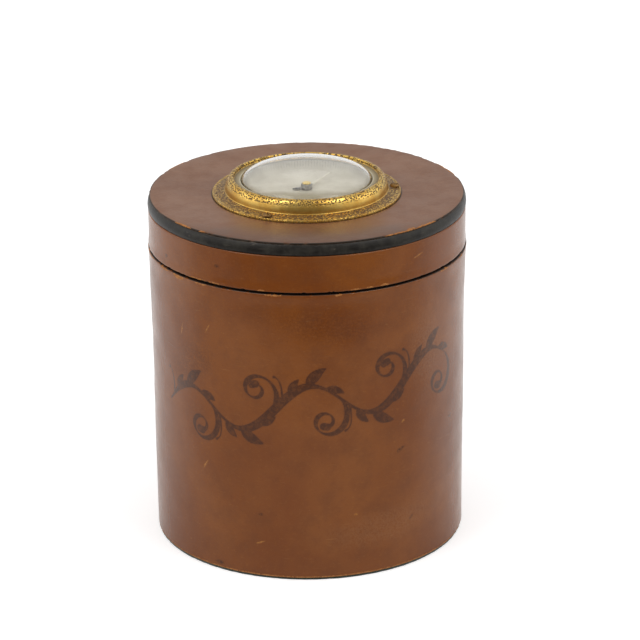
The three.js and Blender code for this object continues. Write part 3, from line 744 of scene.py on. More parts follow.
def felt_cloth(name, deep, pale):
    nodes, place = new_material(name)
    fibre = place.noise(3.0, 5.0, 0.75, 1.5)
    cloud = place.noise(0.2, 3.0, 0.6)
    colour = fibre.span(0.35, 0.7).mix(srgb(*deep), srgb(*pale))
    colour = tinted(colour, (cloud.span(0.4, 0.7, 0.0, 0.4), deep))
    return nodes.finish(colour, 0.95, fibre.bump(0.25 * MM), Sheen_Weight=0.4, Sheen_Roughness=0.5)


# Ink ornament on the jar: a rising vine scroll on the unrolled wall, in millimetres

VINE_LEFT = -74.0
VINE_RIGHT = 74.0
VINE_MIDDLE = 83.0
VINE_SLOPE = 0.13
VINE_SWING = 9.0
VINE_WAVE = 59.2
VINE_BENDS = 5
# Offset from the crest in quarter waves, spread in radians, length and width of each leaf of a bend
VINE_LEAVES = [(-0.55, 0.75, 8.5, 1.5), (-0.05, 0.95, 12.0, 2.1), (0.5, 0.6, 8.5, 1.5)]
PEN_ANGLE = radians(35.0)
INK_BLUR = 0.3
INK_MARGIN = 4.0
FAR_FROM_INK = 10.0


def vine_point(arc):
    """Middle line of the stem."""
    phase = TURN * (arc - VINE_LEFT) / VINE_WAVE
    return np.array([arc, VINE_MIDDLE + VINE_SLOPE * arc + VINE_SWING * sin(phase)])


def vine_heading(arc):
    step = vine_point(arc + 0.1) - vine_point(arc - 0.1)
    return atan2(step[1], step[0])


def walk(start, heading, length, bend, steps):
    """Points, headings and shares of the way of a path whose turning per millimetre is bend(share)."""
    points = [np.array(start)]
    headings = [heading]
    for step in range(steps):
        heading += bend(step / steps) * length / steps
        points.append(points[-1] + length / steps * np.array([cos(heading), sin(heading)]))
        headings.append(heading)
    return np.array(points), np.array(headings), np.linspace(0.0, 1.0, steps + 1)


def pen_half(headings, thin, thick):
    """Half width of a stroke by a broad pen that is held at a fixed angle."""
    return thin + (thick - thin) * np.abs(np.sin(headings + PEN_ANGLE)) ** 1.5


def stem_stroke():
    arcs = np.linspace(VINE_LEFT, VINE_RIGHT, 170)
    headings = np.array([vine_heading(arc) for arc in arcs])
    ends = np.minimum(arcs - VINE_LEFT, VINE_RIGHT - arcs)
    half = pen_half(headings, 0.6, 2.1) * (0.25 + 0.75 * smoothstep(0.0, 14.0, ends))
    return np.array([vine_point(arc) for arc in arcs]), half


def tendril_stroke(arc, side):
    """A spiral that goes on turning where the stem swings back, and winds up in the hollow of the bend."""
    def bend(share):
        return side * (0.085 + 0.3 * share ** 2.0)

    points, headings, share = walk(vine_point(arc), vine_heading(arc), 50.0, bend, 90)
    half = pen_half(headings, 0.5, 1.5) * np.interp(share, [0.0, 0.15, 0.9, 1.0], [0.5, 1.0, 0.6, 0.6])
    return points, np.where(share > 0.965, 1.7, half)


def leaf_stroke(start, heading, turn, length, width):
    """A pointed leaf that bends as it grows."""
    points, headings, share = walk(start, heading, length, lambda share: turn / length, 16)
    half = 0.3 + width * np.sin(pi * share ** 0.8) ** 1.2
    half[-1] = 0.1
    return points, half


def hair_stroke(start, heading, side, length):
    """A thin flourish."""
    def bend(share):
        return side * (0.02 + 0.35 * share ** 3.0)

    points, headings, share = walk(start, heading, length, bend, 40)
    return points, np.interp(share, [0.0, 0.9, 1.0], [0.5, 0.25, 0.6])


def vine_strokes():
    """Stem, and in each of its bends a spiral with three leaves on the outside and a hair line."""
    strokes = [stem_stroke()]
    quarter = VINE_WAVE / 4.0
    for bend in range(VINE_BENDS):
        side = -1.0 if bend % 2 == 0 else 1.0
        crest = VINE_LEFT + quarter * (2 * bend + 1)
        strokes.append(tendril_stroke(crest + 0.85 * quarter, side))
        for offset, spread, length, width in VINE_LEAVES:
            arc = crest + offset * quarter
            heading = vine_heading(arc) - side * spread
            strokes.append(leaf_stroke(vine_point(arc), heading, side * 0.7, length, width))
        hair = crest - 0.8 * quarter
        strokes.append(hair_stroke(vine_point(hair), vine_heading(hair) - side * 0.7, -side, 13.0))
    return strokes


def ink_share(arc, height):
    """1 where the wall is inked, 0 where it is bare."""
    nearest = np.full(len(arc), FAR_FROM_INK)
    for points, half in vine_strokes():
        low = points.min(0) - INK_MARGIN
        high = points.max(0) + INK_MARGIN
        inside = (arc > low[0]) & (arc < high[0]) & (height > low[1]) & (height < high[1])
        chosen = np.nonzero(inside)[0]
        place = np.stack([arc[chosen], height[chosen]], 1)
        best = np.full(len(chosen), FAR_FROM_INK)
        for first, second, half_first, half_second in zip(points[:-1], points[1:], half[:-1], half[1:]):
            along = second - first
            share = np.clip((place - first) @ along / max(along @ along, 1e-9), 0.0, 1.0)
            away = np.hypot(*(place - first - share[:, None] * along).T)
            best = np.minimum(best, away - (half_first + (half_second - half_first) * share))
        nearest[chosen] = np.minimum(nearest[chosen], best)
    return smoothstep(INK_BLUR, -INK_BLUR, nearest)


# Leather pieces

# Raw patches along the edges: arc from the front, half width and reach in millimetres
RIM_PATCHES = [(-99, 14, 1.0), (-76, 5, 1.1), (-64, 4, 1.8), (-50, 4, 0.8), (-15, 5, 0.75), (13, 2, 0.9),
               (70, 4, 0.9), (88, 5, 0.8), (130, 12, 1.0), (175, 9, 1.2), (-150, 10, 1.1)]
SKIRT_PATCHES = [(-52, 6, 0.8), (-43, 4, 0.9), (21, 3, 0.8), (27, 2, 0.9), (34, 2.5, 1.0), (-20, 2, 0.7),
                 (120, 8, 1.0), (-120, 9, 1.0), (190, 6, 1.0)]
DISC_PATCHES = [(-62, 6, 0.9), (-49, 2, 0.8), (42, 8, 0.7), (49, 2.5, 1.7), (58, 7, 0.8),
                (140, 12, 1.0), (-150, 9, 1.0), (200, 10, 1.2), (-205, 6, 1.0)]


def unrolled_points(places):
    """Azimuth, arc from the front in millimetres, positive to the right, and radius of each point."""
    azimuth = np.arctan2(places[:, 1], places[:, 0])
    arc = wrapped(azimuth - FRONT) * JAR_RADIUS / MM
    return azimuth, arc, np.hypot(places[:, 0], places[:, 1])


def heights_in(start, *spans):
    """Heights in metres from a start and spans of (end, step) in millimetres."""
    values = []
    for end, step in spans:
        values.append(np.arange(start, end - 0.5 * step, step))
        start = end
    return np.append(np.concatenate(values), start) * MM


def eased(heights, edge, size, depth):
    """How far a wall draws in near its edge; size and depth in millimetres."""
    return depth * MM * np.clip(1.0 - np.abs(heights - edge) / (size * MM), 0.0, 1.0) ** 2


def worn_reach(arc, base, patches):
    """How far wear reaches in from an edge, in millimetres: base, and more in the patches."""
    reach = np.full_like(arc, base)
    for middle, half, deep in patches:
        reach = np.maximum(reach, base + (deep - base) * np.exp(-(((arc - middle) / half) ** 4)))
    return reach


def seam_groove(azimuth, place, half_width=SEAM_HALF):
    """1 in the middle of an upright seam, 0 beside it."""
    away = np.abs(wrapped(azimuth - place)) * JAR_RADIUS
    return smoothstep(half_width, 0.4 * half_width, away)


def wall_wear(azimuth, arc, from_edge, patches):
    """Shares of raw leather near an edge under the lid and along the seam at the back, and of grime and
    painted shade near that edge.

    The black of the seam under the lid, grime with painted shade of the gap, spreads furthest on the right.
    """
    worn = smoothstep(0.35, -0.25, from_edge - worn_reach(arc, -0.7, patches))
    worn = np.maximum(worn, 0.75 * seam_groove(azimuth, BACK, 1.6 * SEAM_HALF))
    # Grime and painted shade: the leather's edge goes black in the seam under the lid.
    grime = smoothstep(0.1 + 0.24 * smoothstep(-10.0, 60.0, arc), 0.05, from_edge)
    return worn * (1.0 - grime), grime


def wall_azimuths(step):
    """Fine columns over the front and over the upright seam at the back."""
    return fine_azimuths(2.2 * MM, (FRONT, FRONT_HALF, step), (BACK, NEAR_SEAM, NEAR_SEAM / 8.0))


def jar_wrap():
    """Leather round the jar: slightly uneven, with a rounded chipped rim and a butt seam at the back."""
    random = np.random.RandomState(11)
    foot = JAR_FOOT / MM
    rim = JAR_RIM / MM
    heights = heights_in(foot, (foot + 3.0, 0.3), (52.0, 1.3), (112.0, 0.5), (rim - 3.0, 1.3), (rim, 0.25))
    outer = JAR_RADIUS - FOOT_TAPER * (1.0 - heights / JAR_RIM)
    outer += RIM_FLARE * smoothstep(JAR_RIM - 45.0 * MM, JAR_RIM, heights)
    outer += RIM_LIP * smoothstep(JAR_RIM - 6.0 * MM, JAR_RIM, heights)
    outer -= eased(heights, JAR_RIM, 0.4, 0.2) + eased(heights, JAR_FOOT, 0.4, 0.2)
    foot_inside = LEATHER_INSIDE - FOOT_TAPER
    outline = [
        *zip(outer, heights),
        (LEATHER_INSIDE + 0.45 * LEATHER, JAR_RIM),
        (LEATHER_INSIDE, JAR_RIM),
        (foot_inside, JAR_FOOT),
        (foot_inside + 0.5 * LEATHER, JAR_FOOT),
    ]

    def shape(radius, height, azimuth):
        outside = radius > LEATHER_INSIDE + 0.5 * LEATHER - FOOT_TAPER * (1.0 - height / JAR_RIM)
        moved = uneven(azimuth, height, random, (0.1, 60.0, 14), (0.035, 14.0, 30))
        chips = nicks(azimuth, 70, 0.012, 0.25, random) * smoothstep(JAR_RIM - 1.2 * MM, JAR_RIM, height)
        moved -= SEAM_DEPTH * seam_groove(azimuth, BACK) + 0.5 * chips
        return radius + np.where(outside, moved, 0.0), height - np.where(outside, chips, 0.0)

    places, faces = turned(outline, wall_azimuths(0.5 * MM), shape)
    azimuth, arc, radius = unrolled_points(places)
    worn, grime = wall_wear(azimuth, arc, (JAR_RIM - places[:, 2]) / MM, RIM_PATCHES)
    worn = np.maximum(worn, smoothstep(0.95, 0.55, (places[:, 2] - JAR_FOOT) / MM))
    ink = np.where(radius > JAR_RADIUS - 1.2 * MM, ink_share(arc, places[:, 2] / MM), 0.0)
    return mesh_of("jar_wrap", places, faces, worn=worn, grime=grime, ink=ink)


def skirt_wrap():
    """Leather round the lid's side, pulled out a little along its lower edge."""
    random = np.random.RandomState(12)
    foot = SKIRT_FOOT / MM
    top = SKIRT_TOP / MM
    heights = heights_in(foot, (foot + 3.0, 0.25), (top - 2.0, 0.8), (top, 0.3))
    outer = JAR_RADIUS + SKIRT_SWELL
    outer = outer + SKIRT_FLARE * smoothstep(SKIRT_FOOT + 4.0 * MM, SKIRT_FOOT + 0.3 * MM, heights)
    outer -= eased(heights, SKIRT_FOOT, 0.4, 0.2) + eased(heights, SKIRT_TOP, 0.5, 0.3)
    outline = [
        *zip(outer, heights),
        (LEATHER_INSIDE, SKIRT_TOP),
        (LEATHER_INSIDE, SKIRT_FOOT),
        (LEATHER_INSIDE + 0.5 * LEATHER, SKIRT_FOOT),
    ]

    def shape(radius, height, azimuth):
        outside = radius > LEATHER_INSIDE + 0.6 * LEATHER
        moved = uneven(azimuth, height, random, (0.08, 60.0, 14), (0.03, 14.0, 30))
        chips = nicks(azimuth, 60, 0.01, 0.4, random)
        chips *= smoothstep(SKIRT_FOOT + 1.0 * MM, SKIRT_FOOT, height)
        moved -= SEAM_DEPTH * seam_groove(azimuth, BACK) + 0.4 * chips
        return radius + np.where(outside, moved, 0.0), height + np.where(outside, chips, 0.0)

    places, faces = turned(outline, wall_azimuths(0.8 * MM), shape)
    azimuth, arc, radius = unrolled_points(places)
    worn, grime = wall_wear(azimuth, arc, (places[:, 2] - SKIRT_FOOT) / MM, SKIRT_PATCHES)
    return mesh_of("skirt_wrap", places, faces, worn=worn, grime=grime)


def lid_disc():
    """Leather disc on the lid, dished under the bezel, pared thin and chipped along its edge."""
    random = np.random.RandomState(13)
    edge = LID_LEATHER_RADIUS
    lap = STRIP_TOP + 0.05 * MM
    inside = CORE_RADIUS - 0.05 * MM
    under = [(LID_HOLE, LID_LEATHER_FOOT), (inside, LID_LEATHER_FOOT), (inside, lap)]
    rim = [(edge - 0.15 * MM, lap), (edge, lap + 0.25 * MM), (edge - 0.12 * MM, LID_TOP - 0.08 * MM)]
    steps = [0.4, *np.arange(0.65, 3.2, 0.25), *np.arange(4.0, 38.0, 1.5)]
    top = [(edge - step * MM, LID_TOP) for step in steps]
    outline = dense(under, 4.0 * MM) + rim + top + [(LID_HOLE, LID_TOP)]

    def shape(radius, height, azimuth):
        above = height > LID_TOP - 0.3 * MM
        rise = uneven(azimuth, radius, random, (0.07, 50.0, 14))
        rise *= smoothstep(FLANGE_RADIUS, FLANGE_RADIUS + 8.0 * MM, radius)
        rise -= 0.12 * MM * smoothstep(edge - 2.5 * MM, edge, radius)
        rise -= LID_DISH * smoothstep(edge - 4.0 * MM, FLANGE_RADIUS + 2.0 * MM, radius)
        chips = nicks(azimuth, 90, 0.014, 0.55, random)
        chips *= smoothstep(edge - 1.2 * MM, edge - 0.1 * MM, radius)
        return radius - chips, height + np.where(above, rise, 0.0)

    places, faces = turned(outline, fine_azimuths(2.0 * MM, (FRONT, FRONT_HALF, 0.8 * MM)), shape)
    azimuth, arc, radius = unrolled_points(places)
    from_edge = (edge - radius) / MM
    worn = smoothstep(0.4, -0.3, from_edge - worn_reach(arc, -0.3, DISC_PATCHES))
    return mesh_of("lid_disc", places, faces, worn=worn, grime=smoothstep(0.9, 0.0, from_edge))


def edge_strip():
    """Black strip that swells between its edges and springs away from the lid at its joint."""
    random = np.random.RandomState(14)
    share = np.linspace(0.0, 1.0, 15)
    outer = JAR_RADIUS + 0.3 * MM - 1.1 * MM * share + STRIP_SWELL * 4.0 * share * (1.0 - share)
    outer -= 0.2 * MM * np.abs(2.0 * share - 1.0) ** 6
    heights = STRIP_FOOT + (STRIP_TOP - STRIP_FOOT) * share
    outline = [*zip(outer, heights), (LEATHER_INSIDE, STRIP_TOP), (LEATHER_INSIDE, STRIP_FOOT)]
    middle = (STRIP_FOOT + STRIP_TOP) / 2.0

    def shape(radius, height, azimuth):
        outside = radius > LEATHER_INSIDE + 0.4 * LEATHER
        before_joint = wrapped(STRIP_JOINT - azimuth)
        near_joint = np.clip(1.0 - before_joint / STRIP_SPRING_SPAN, 0.0, 1.0) ** 2
        moved = uneven(azimuth, height, random, (0.06, 40.0, 14), (0.03, 9.0, 24))
        moved += STRIP_SPRING * np.where(before_joint >= 0.0, near_joint, 0.0)
        moved -= SEAM_DEPTH * seam_groove(azimuth, STRIP_JOINT)
        ragged = np.minimum(uneven(azimuth, height, random, (0.09, 7.0, 20)), 0.0)
        ragged *= np.sign(height - middle)
        ragged *= smoothstep(0.75, 1.0, np.abs(height - middle) / (STRIP_TOP - middle))
        return radius + np.where(outside, moved, 0.0), height + np.where(outside, ragged, 0.0)

    azimuths = fine_azimuths(1.2 * MM, (STRIP_JOINT, NEAR_SEAM, NEAR_SEAM / 8.0))
    return turned_mesh("edge_strip", outline, azimuths, shape)


# Hygrometer pieces

def bezel_ring():
    """Sloped flange with a bead, a raised ring with a rounded crown, and a ledge round the dome."""
    random = np.random.RandomState(15)
    seat = DOME_FOOT + 0.1 * MM
    corners = [
        (CASE_RECESS, FLANGE_FOOT, 0.0),
        (FLANGE_RADIUS, FLANGE_FOOT, 0.15),
        (FLANGE_RADIUS, FLANGE_TOP + BEAD, 0.35),
        (FLANGE_RADIUS - 0.8 * MM, FLANGE_TOP + BEAD, 0.25),
        (FLANGE_RADIUS - 1.1 * MM, FLANGE_TOP, 0.1),
        (BEZEL_RADIUS + 0.1 * MM, RING_FOOT, 0.35),
        (BEZEL_RADIUS - 0.05 * MM, LID_TOP + 3.2 * MM, 1.3),
        (BEZEL_RADIUS - 1.1 * MM, BEZEL_TOP - 1.1 * MM, 0.75),
        (WINDOW_RADIUS + 1.6 * MM, BEZEL_TOP, 0.75),
        (WINDOW_RADIUS, BEZEL_TOP, 0.5),
        (WINDOW_RADIUS, LEDGE_TOP, 0.6),
        (LEDGE_RADIUS - LEDGE_LEAN, LEDGE_TOP, 0.08),
        (LEDGE_RADIUS, seat, 0.0),
        (BEZEL_BORE, seat, 0.0),
        (BEZEL_BORE, CASE_TOP, 0.0),
        (CASE_RECESS, CASE_TOP, 0.0),
    ]

    def shape(radius, height, azimuth):
        outside = radius > BEZEL_BORE + 0.3 * MM
        moved = uneven(azimuth, height, random, (0.035, 30.0, 16), (0.02, 7.0, 24))
        return radius + np.where(outside, moved, 0.0), height

    return turned_mesh("bezel_ring", dense(rounded(corners, 7), 0.6 * MM), even_azimuths(300), shape)


def dome_outline(depth):
    """Points of the dome at a depth below its outer face, from its middle to its foot."""
    rise = GLASS_TOP - DOME_FOOT
    points = []
    for turn in np.linspace(0.0, pi / 2.0, 40):
        across, up = sin(turn), cos(turn)
        outward = Vector((across / DOME_RADIUS, up / rise)).normalized()
        points.append((DOME_RADIUS * across - depth * outward.x, DOME_FOOT + rise * up - depth * outward.y))
    return points


def dome_glass():
    """Glass dome on a foot ring that the bezel's ledge holds down."""
    inner = dome_outline(DOME_SHELL)
    foot = [(inner[-1][0], GLASS_FOOT), (GLASS_RADIUS, GLASS_FOOT), (GLASS_RADIUS, DOME_FOOT)]
    outline = inner + foot + dome_outline(0.0)[::-1]
    return turned_mesh("dome_glass", outline, even_azimuths(200), closed=False)


def spacer_ring():
    """Ring between dial and glass whose inner face curves up from the dial to a brim inside the glass."""
    seat = GLASS_FOOT - 0.05 * MM
    wide = SPACER_BRIM - SPACER_LIP - SPACER_HOLE
    tall = SPACER_TOP - SPACER_FOOT
    outline = [
        (SPACER_RADIUS, SPACER_FOOT),
        (SPACER_RADIUS, seat),
        (SPACER_BRIM, seat),
        (SPACER_BRIM, SPACER_TOP),
    ]
    for turn in np.linspace(pi / 2.0, 0.0, 16):
        outline.append((SPACER_HOLE + wide * sin(turn), SPACER_FOOT + tall * (1.0 - cos(turn))))
    return turned_mesh("spacer_ring", dense(outline, 1.5 * MM), even_azimuths(160))


def ring_corners(inner, outer, foot, top, *cuts):
    """Corners of a ring's section, counterclockwise from its inner foot, with their cuts."""
    places = [(inner, foot), (outer, foot), (outer, top), (inner, top)]
    return [(*place, size) for place, size in zip(places, cuts)]


def ring_mesh(name, inner, outer, foot, top, size):
    """A turned ring with rounded corners."""
    corners = ring_corners(inner, outer, foot, top, size, size, size, size)
    return turned_mesh(name, dense(rounded(corners, 3), 2.0 * MM), even_azimuths(160))


def disc_mesh(name, radius, foot, top, inset, cuts, columns=160, step=2.0 * MM, shape=None):
    """A turned disc whose edge is rounded by cuts at its foot and top, all inside an inset."""
    edge = rounded(ring_corners(radius - inset * MM, radius, foot, top, 0.0, *cuts, 0.0))
    outline = dense([(0.0, foot)] + edge + [(0.0, top)], step)
    return turned_mesh(name, outline, even_azimuths(columns), shape, closed=False)


def lofted_bar(stations, sides):
    """A closed bar through stations of (along, middle height, half width, half thickness, turn about Z)."""
    angles = even_azimuths(sides)
    across = np.sign(np.cos(angles)) * np.abs(np.cos(angles)) ** 0.6
    upright = np.sign(np.sin(angles)) * np.abs(np.sin(angles)) ** 0.6
    places = []
    for along, middle, half_width, half_thick, turn in stations:
        for wide, tall in zip(across * half_width, upright * half_thick):
            x = along * cos(turn) - wide * sin(turn)
            y = along * sin(turn) + wide * cos(turn)
            places.append((x, y, middle + tall))
    faces = []
    last = (len(stations) - 1) * sides
    for station in range(0, last, sides):
        for side in range(sides):
            first = station + side
            second = station + (side + 1) % sides
            faces.append((first, second, second + sides, first + sides))
    faces.append(tuple(range(sides))[::-1])
    faces.append(tuple(range(last, last + sides)))
    return np.array(places), faces


def pointer_hand():
    """Hand with a lance-shaped tail and a thin arm set slightly upwards, bent at the turned collar."""
    middle = DIAL_TOP + 0.7 * MM
    tail = [-POINTER_TAIL, -0.92 * POINTER_TAIL, -0.72 * POINTER_TAIL, -0.45 * POINTER_TAIL]
    alongs = tail + [-POINTER_HUB, POINTER_HUB, 0.5 * POINTER_LENGTH, POINTER_LENGTH]
    halves = np.array([0.16, 0.45, 0.95, 0.75, 0.6, 0.85, 0.6, 0.25]) * MM
    stations = []
    for along in np.linspace(-POINTER_TAIL, POINTER_LENGTH, 48):
        lift = POINTER_LIFT * max(0.0, along - POINTER_HUB)
        half_thick = 0.2 * MM - 0.06 * MM * smoothstep(2.0 * MM, 6.0 * MM, along)
        turn = POINTER_AZIMUTH - POINTER_BEND * smoothstep(POINTER_HUB, -POINTER_HUB, along)
        stations.append((along, middle + lift, np.interp(along, alongs, halves), half_thick, turn))
    bar, bar_faces = lofted_bar(stations, 10)
    inner = ARBOR_RADIUS + 0.05 * MM
    top = CAP_FOOT - 0.05 * MM
    corners = ring_corners(inner, COLLAR_RADIUS, COLLAR_FOOT, top, 0.0, 0.25, 0.25, 0.0)
    collar, collar_faces = turned(rounded(corners, 3), even_azimuths(40))
    faces = bar_faces + [tuple(face + len(bar)) for face in collar_faces]
    return mesh_of("pointer_hand", np.concatenate([bar, collar]), faces)


# Cut shapes

def cut(mesh, cutters):
    """The mesh with closed cutters, which don't touch each other, taken out of it."""
    joined = bmesh.new()
    for cutter in cutters:
        joined.from_mesh(cutter)
    tool_mesh = bpy.data.meshes.new("cutter")
    joined.to_mesh(tool_mesh)
    joined.free()
    target = add_object("cut_target", mesh)
    tool = add_object("cutter", tool_mesh)
    modifier = target.modifiers.new("cut", "BOOLEAN")
    modifier.operation = "DIFFERENCE"
    modifier.solver = "EXACT"
    modifier.object = tool
    settled = target.evaluated_get(bpy.context.evaluated_depsgraph_get())
    result = bpy.data.meshes.new_from_object(settled)
    for thing in (target, tool):
        bpy.data.objects.remove(thing)
    name = mesh.name
    mesh.name = name + ".whole"
    result.name = name
    return result


def drill(radius, foot, top, place):
    outline = [(0.0, foot), (radius, foot), (radius, top), (0.0, top)]
    mesh = turned_mesh("drill", outline, even_azimuths(24), closed=False)
    mesh.transform(Matrix.Translation((*place, 0.0)))
    return mesh


def box_mesh(half_sizes):
    shape = bmesh.new()
    bmesh.ops.create_cube(shape, size=2.0)
    bmesh.ops.scale(shape, vec=half_sizes, verts=shape.verts)
    mesh = bpy.data.meshes.new("block")
    shape.to_mesh(mesh)
    shape.free()
    return mesh


def screw_mesh(name, head_radius, head_height, shank_radius, length, matrix):
    """Slotted round-head screw, with the seat of its head at the matrix's origin and its head along +Z."""
    outline = [
        (0.0, -length),
        (shank_radius, -length + 1.5 * shank_radius),
        (shank_radius, 0.0),
        (head_radius - 0.06 * MM, 0.0),
    ]
    steps = 10
    for step in range(steps):
        angle = pi / 2.0 * step / steps
        height = 0.12 * head_height + 0.88 * head_height * sin(angle)
        outline.append((head_radius * cos(angle) ** 0.75, height))
    outline.append((0.0, head_height))
    slot = box_mesh((3.0 * head_radius, 0.15 * head_radius, 0.5 * head_height))
    slot.transform(Matrix.Translation((0.0, 0.0, 1.05 * head_height)))
    made = cut(turned_mesh(name, outline, even_azimuths(40), closed=False), [slot])
    made.transform(matrix)
    return made


# Jar and lid inside

def lining_wall():
    """Bent cedar board with eased edges and a butt joint."""
    inner = LINING_RADIUS - LINING_WALL
    middle = LINING_RADIUS - 0.5 * LINING_WALL
    corners = ring_corners(inner, LINING_RADIUS, LINING_FOOT, NECK_TOP, 0.0, 0.0, 1.1, 0.7)

    def shape(radius, height, azimuth):
        groove = seam_groove(azimuth, LINING_JOINT)
        return radius + np.sign(middle - radius) * 0.6 * MM * groove, height

    azimuths = fine_azimuths(2.0 * MM, (LINING_JOINT, NEAR_SEAM, NEAR_SEAM / 6.0))
    return turned_mesh("lining_wall", dense(rounded(corners, 5), 4.0 * MM), azimuths, shape)


def wall_core():
    inner = CORE_RADIUS - CORE_WALL
    corners = [
        (inner, JAR_FOOT, 0.0),
        (CORE_RADIUS - FOOT_TAPER, JAR_FOOT, 0.0),
        (CORE_RADIUS, CORE_TOP, 0.4),
        (inner, CORE_TOP, 0.3),
    ]
    return turned_mesh("wall_core", dense(rounded(corners, 3), 5.0 * MM), even_azimuths(180))


def lid_core():
    """Wooden ring of the lid, with a lead-in that finds the neck."""
    inner = LINING_RADIUS + LID_PLAY
    lead = 1.0 * MM
    corners = [
        (inner + lead, LID_RING_FOOT, 0.2),
        (CORE_RADIUS, LID_RING_FOOT, 0.3),
        (CORE_RADIUS, LID_RING_TOP, 0.0),
        (inner, LID_RING_TOP, 0.0),
        (inner, LID_RING_FOOT + lead, 0.3),
    ]
    return turned_mesh("lid_core", dense(rounded(corners, 3), 3.0 * MM), even_azimuths(180))


def tray_channel():
    """Sheet-brass channel with a screw flange and rows of air holes in its floor."""
    outer = TRAY_RADIUS
    inner = outer - TRAY_WIDTH
    floor = TRAY_FOOT + SHEET
    corners = [
        (inner, TRAY_FOOT, 0.9),
        (outer, TRAY_FOOT, 0.9),
        (outer, TRAY_TOP, 0.2),
        (outer - SHEET, TRAY_TOP, 0.2),
        (outer - SHEET, floor, 0.4),
        (inner + SHEET, floor, 0.4),
        (inner + SHEET, TRAY_TOP, 0.9),
        (inner - TRAY_FLANGE, TRAY_TOP, 0.2),
        (inner - TRAY_FLANGE, TRAY_TOP - SHEET, 0.2),
        (inner, TRAY_TOP - SHEET, 0.4),
    ]
    holes = []
    for row, circle in enumerate(TRAY_HOLE_CIRCLES):
        for hole in range(TRAY_HOLES_IN_ROW):
            place = polar(circle, TURN * (hole + row / 2.0) / TRAY_HOLES_IN_ROW)
            holes.append(drill(TRAY_HOLE, TRAY_FOOT - MM, TRAY_FOOT + 2.0 * SHEET, place))
    return cut(turned_mesh("tray_channel", rounded(corners), even_azimuths(150)), holes)


def grille_plate():
    radius, foot, top = extent("air_grille")
    places = [(0.0, 0.0)]
    for row in (1, 2):
        count = 6 * row
        places += [polar(GRILLE_PITCH * row, TURN * hole / count) for hole in range(count)]
    holes = [drill(GRILLE_HOLE, foot - MM, top + MM, place) for place in places]
    return cut(disc_mesh("grille_plate", radius, foot, top, 0.25, (0.25, 0.25), 150), holes)


def pad_ring():
    """Absorbent felted ring: crowned, drawn in at its sides, and lumpy."""
    random = np.random.RandomState(16)
    middle = (PAD_INNER + PAD_OUTER) / 2.0
    half = (PAD_OUTER - PAD_INNER) / 2.0
    centre = (PAD_FOOT + PAD_TOP) / 2.0
    rise = (PAD_TOP - PAD_FOOT) / 2.0
    outline = []
    sides = 40
    for side in range(sides):
        angle = TURN * side / sides - pi / 2.0
        across = copysign(abs(cos(angle)) ** 0.45, cos(angle))
        upright = copysign(abs(sin(angle)) ** 0.6, sin(angle))
        outline.append((middle + 0.97 * half * across, centre + 0.93 * rise * upright))

    def shape(radius, height, azimuth):
        swell = uneven(azimuth, height, random, (0.18, 9.0, 24))
        return radius + 0.4 * swell, height + swell * np.sign(height - centre)

    return turned_mesh("pad_ring", outline, even_azimuths(200), shape)


def felt_disc():
    random = np.random.RandomState(17)

    def shape(radius, height, azimuth):
        edge = smoothstep(FELT_RADIUS - 1.0 * MM, FELT_RADIUS, radius)
        return radius + edge * uneven(azimuth, height, random, (0.1, 3.0, 30)), height

    top = JAR_FOOT - 0.05 * MM
    return disc_mesh("felt_disc", FELT_RADIUS, 0.0, top, 0.25, (0.25, 0.25), 420, 3.0 * MM, shape)


# Assembly

def fine_screws(kind, count, material, size, underside=False, sunk=0.0):
    """Replaces the lid's plain screws of one kind; places come from the solids' boxes.

    The size is the head's radius and height and the shank's radius and length, in millimetres.
    """
    head_radius, head_height, shank_radius, length = (value * MM for value in size)
    for number in range(1, count + 1):
        node = f"{kind}_{number}"
        low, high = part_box(node)
        seat = low.z + head_height if underside else high.z - head_height - sunk
        turn = Matrix.Rotation(0.5 + 1.3 * number, 4, "Z")
        if underside:
            turn = Matrix.Rotation(pi, 4, "X") @ turn
        matrix = Matrix.Translation(((low.x + high.x) / 2.0, (low.y + high.y) / 2.0, seat)) @ turn
        mesh = screw_mesh(f"fine_{node}", head_radius, head_height, shank_radius, length, matrix)
        mesh.materials.clear()
        piece(mesh, material, "lid", node, 35)


CEDAR_COLOURS = ((176, 118, 74), (146, 88, 52), (104, 58, 34))
BEECH_COLOURS = ((150, 108, 68), (124, 84, 50), (84, 54, 32))
cedar = wood("cedar", *CEDAR_COLOURS, 0.35)
beech = wood("beech", *BEECH_COLOURS, 0.2)
rim_beech = wood("rim_beech", *BEECH_COLOURS, 0.2, blackened=True)
sheet_brass = aged_brass("sheet_brass", 0.3)
screw_brass = aged_brass("screw_brass", 0.95, 0.45)
clean_brass = bright_brass("clean_brass")
cap_brass = bright_brass("cap_brass", (244, 222, 150), (228, 198, 118))
steel = dark_steel("steel")
paint = dial_paint("paint")
jar_leather = saddle_leather("jar_leather", WALL_MARKS, inked=True)
skirt_leather = saddle_leather("skirt_leather", SKIRT_MARKS, shine=0.4)
disc_leather = saddle_leather("disc_leather", {}, flat=True)
pad_felt = felt_cloth("pad_felt", (176, 166, 142), (226, 220, 204))
green_felt = felt_cloth("green_felt", (22, 34, 26), (52, 66, 52))

piece(jar_wrap(), jar_leather, "jar", "body_leather", 60)
piece(skirt_wrap(), skirt_leather, "lid", "lid_skirt_leather", 60)
piece(lid_disc(), disc_leather, "lid", "lid_top_leather", 60)
piece(edge_strip(), black_leather("strip_leather"), "lid", "lid_edge_strip", 60)

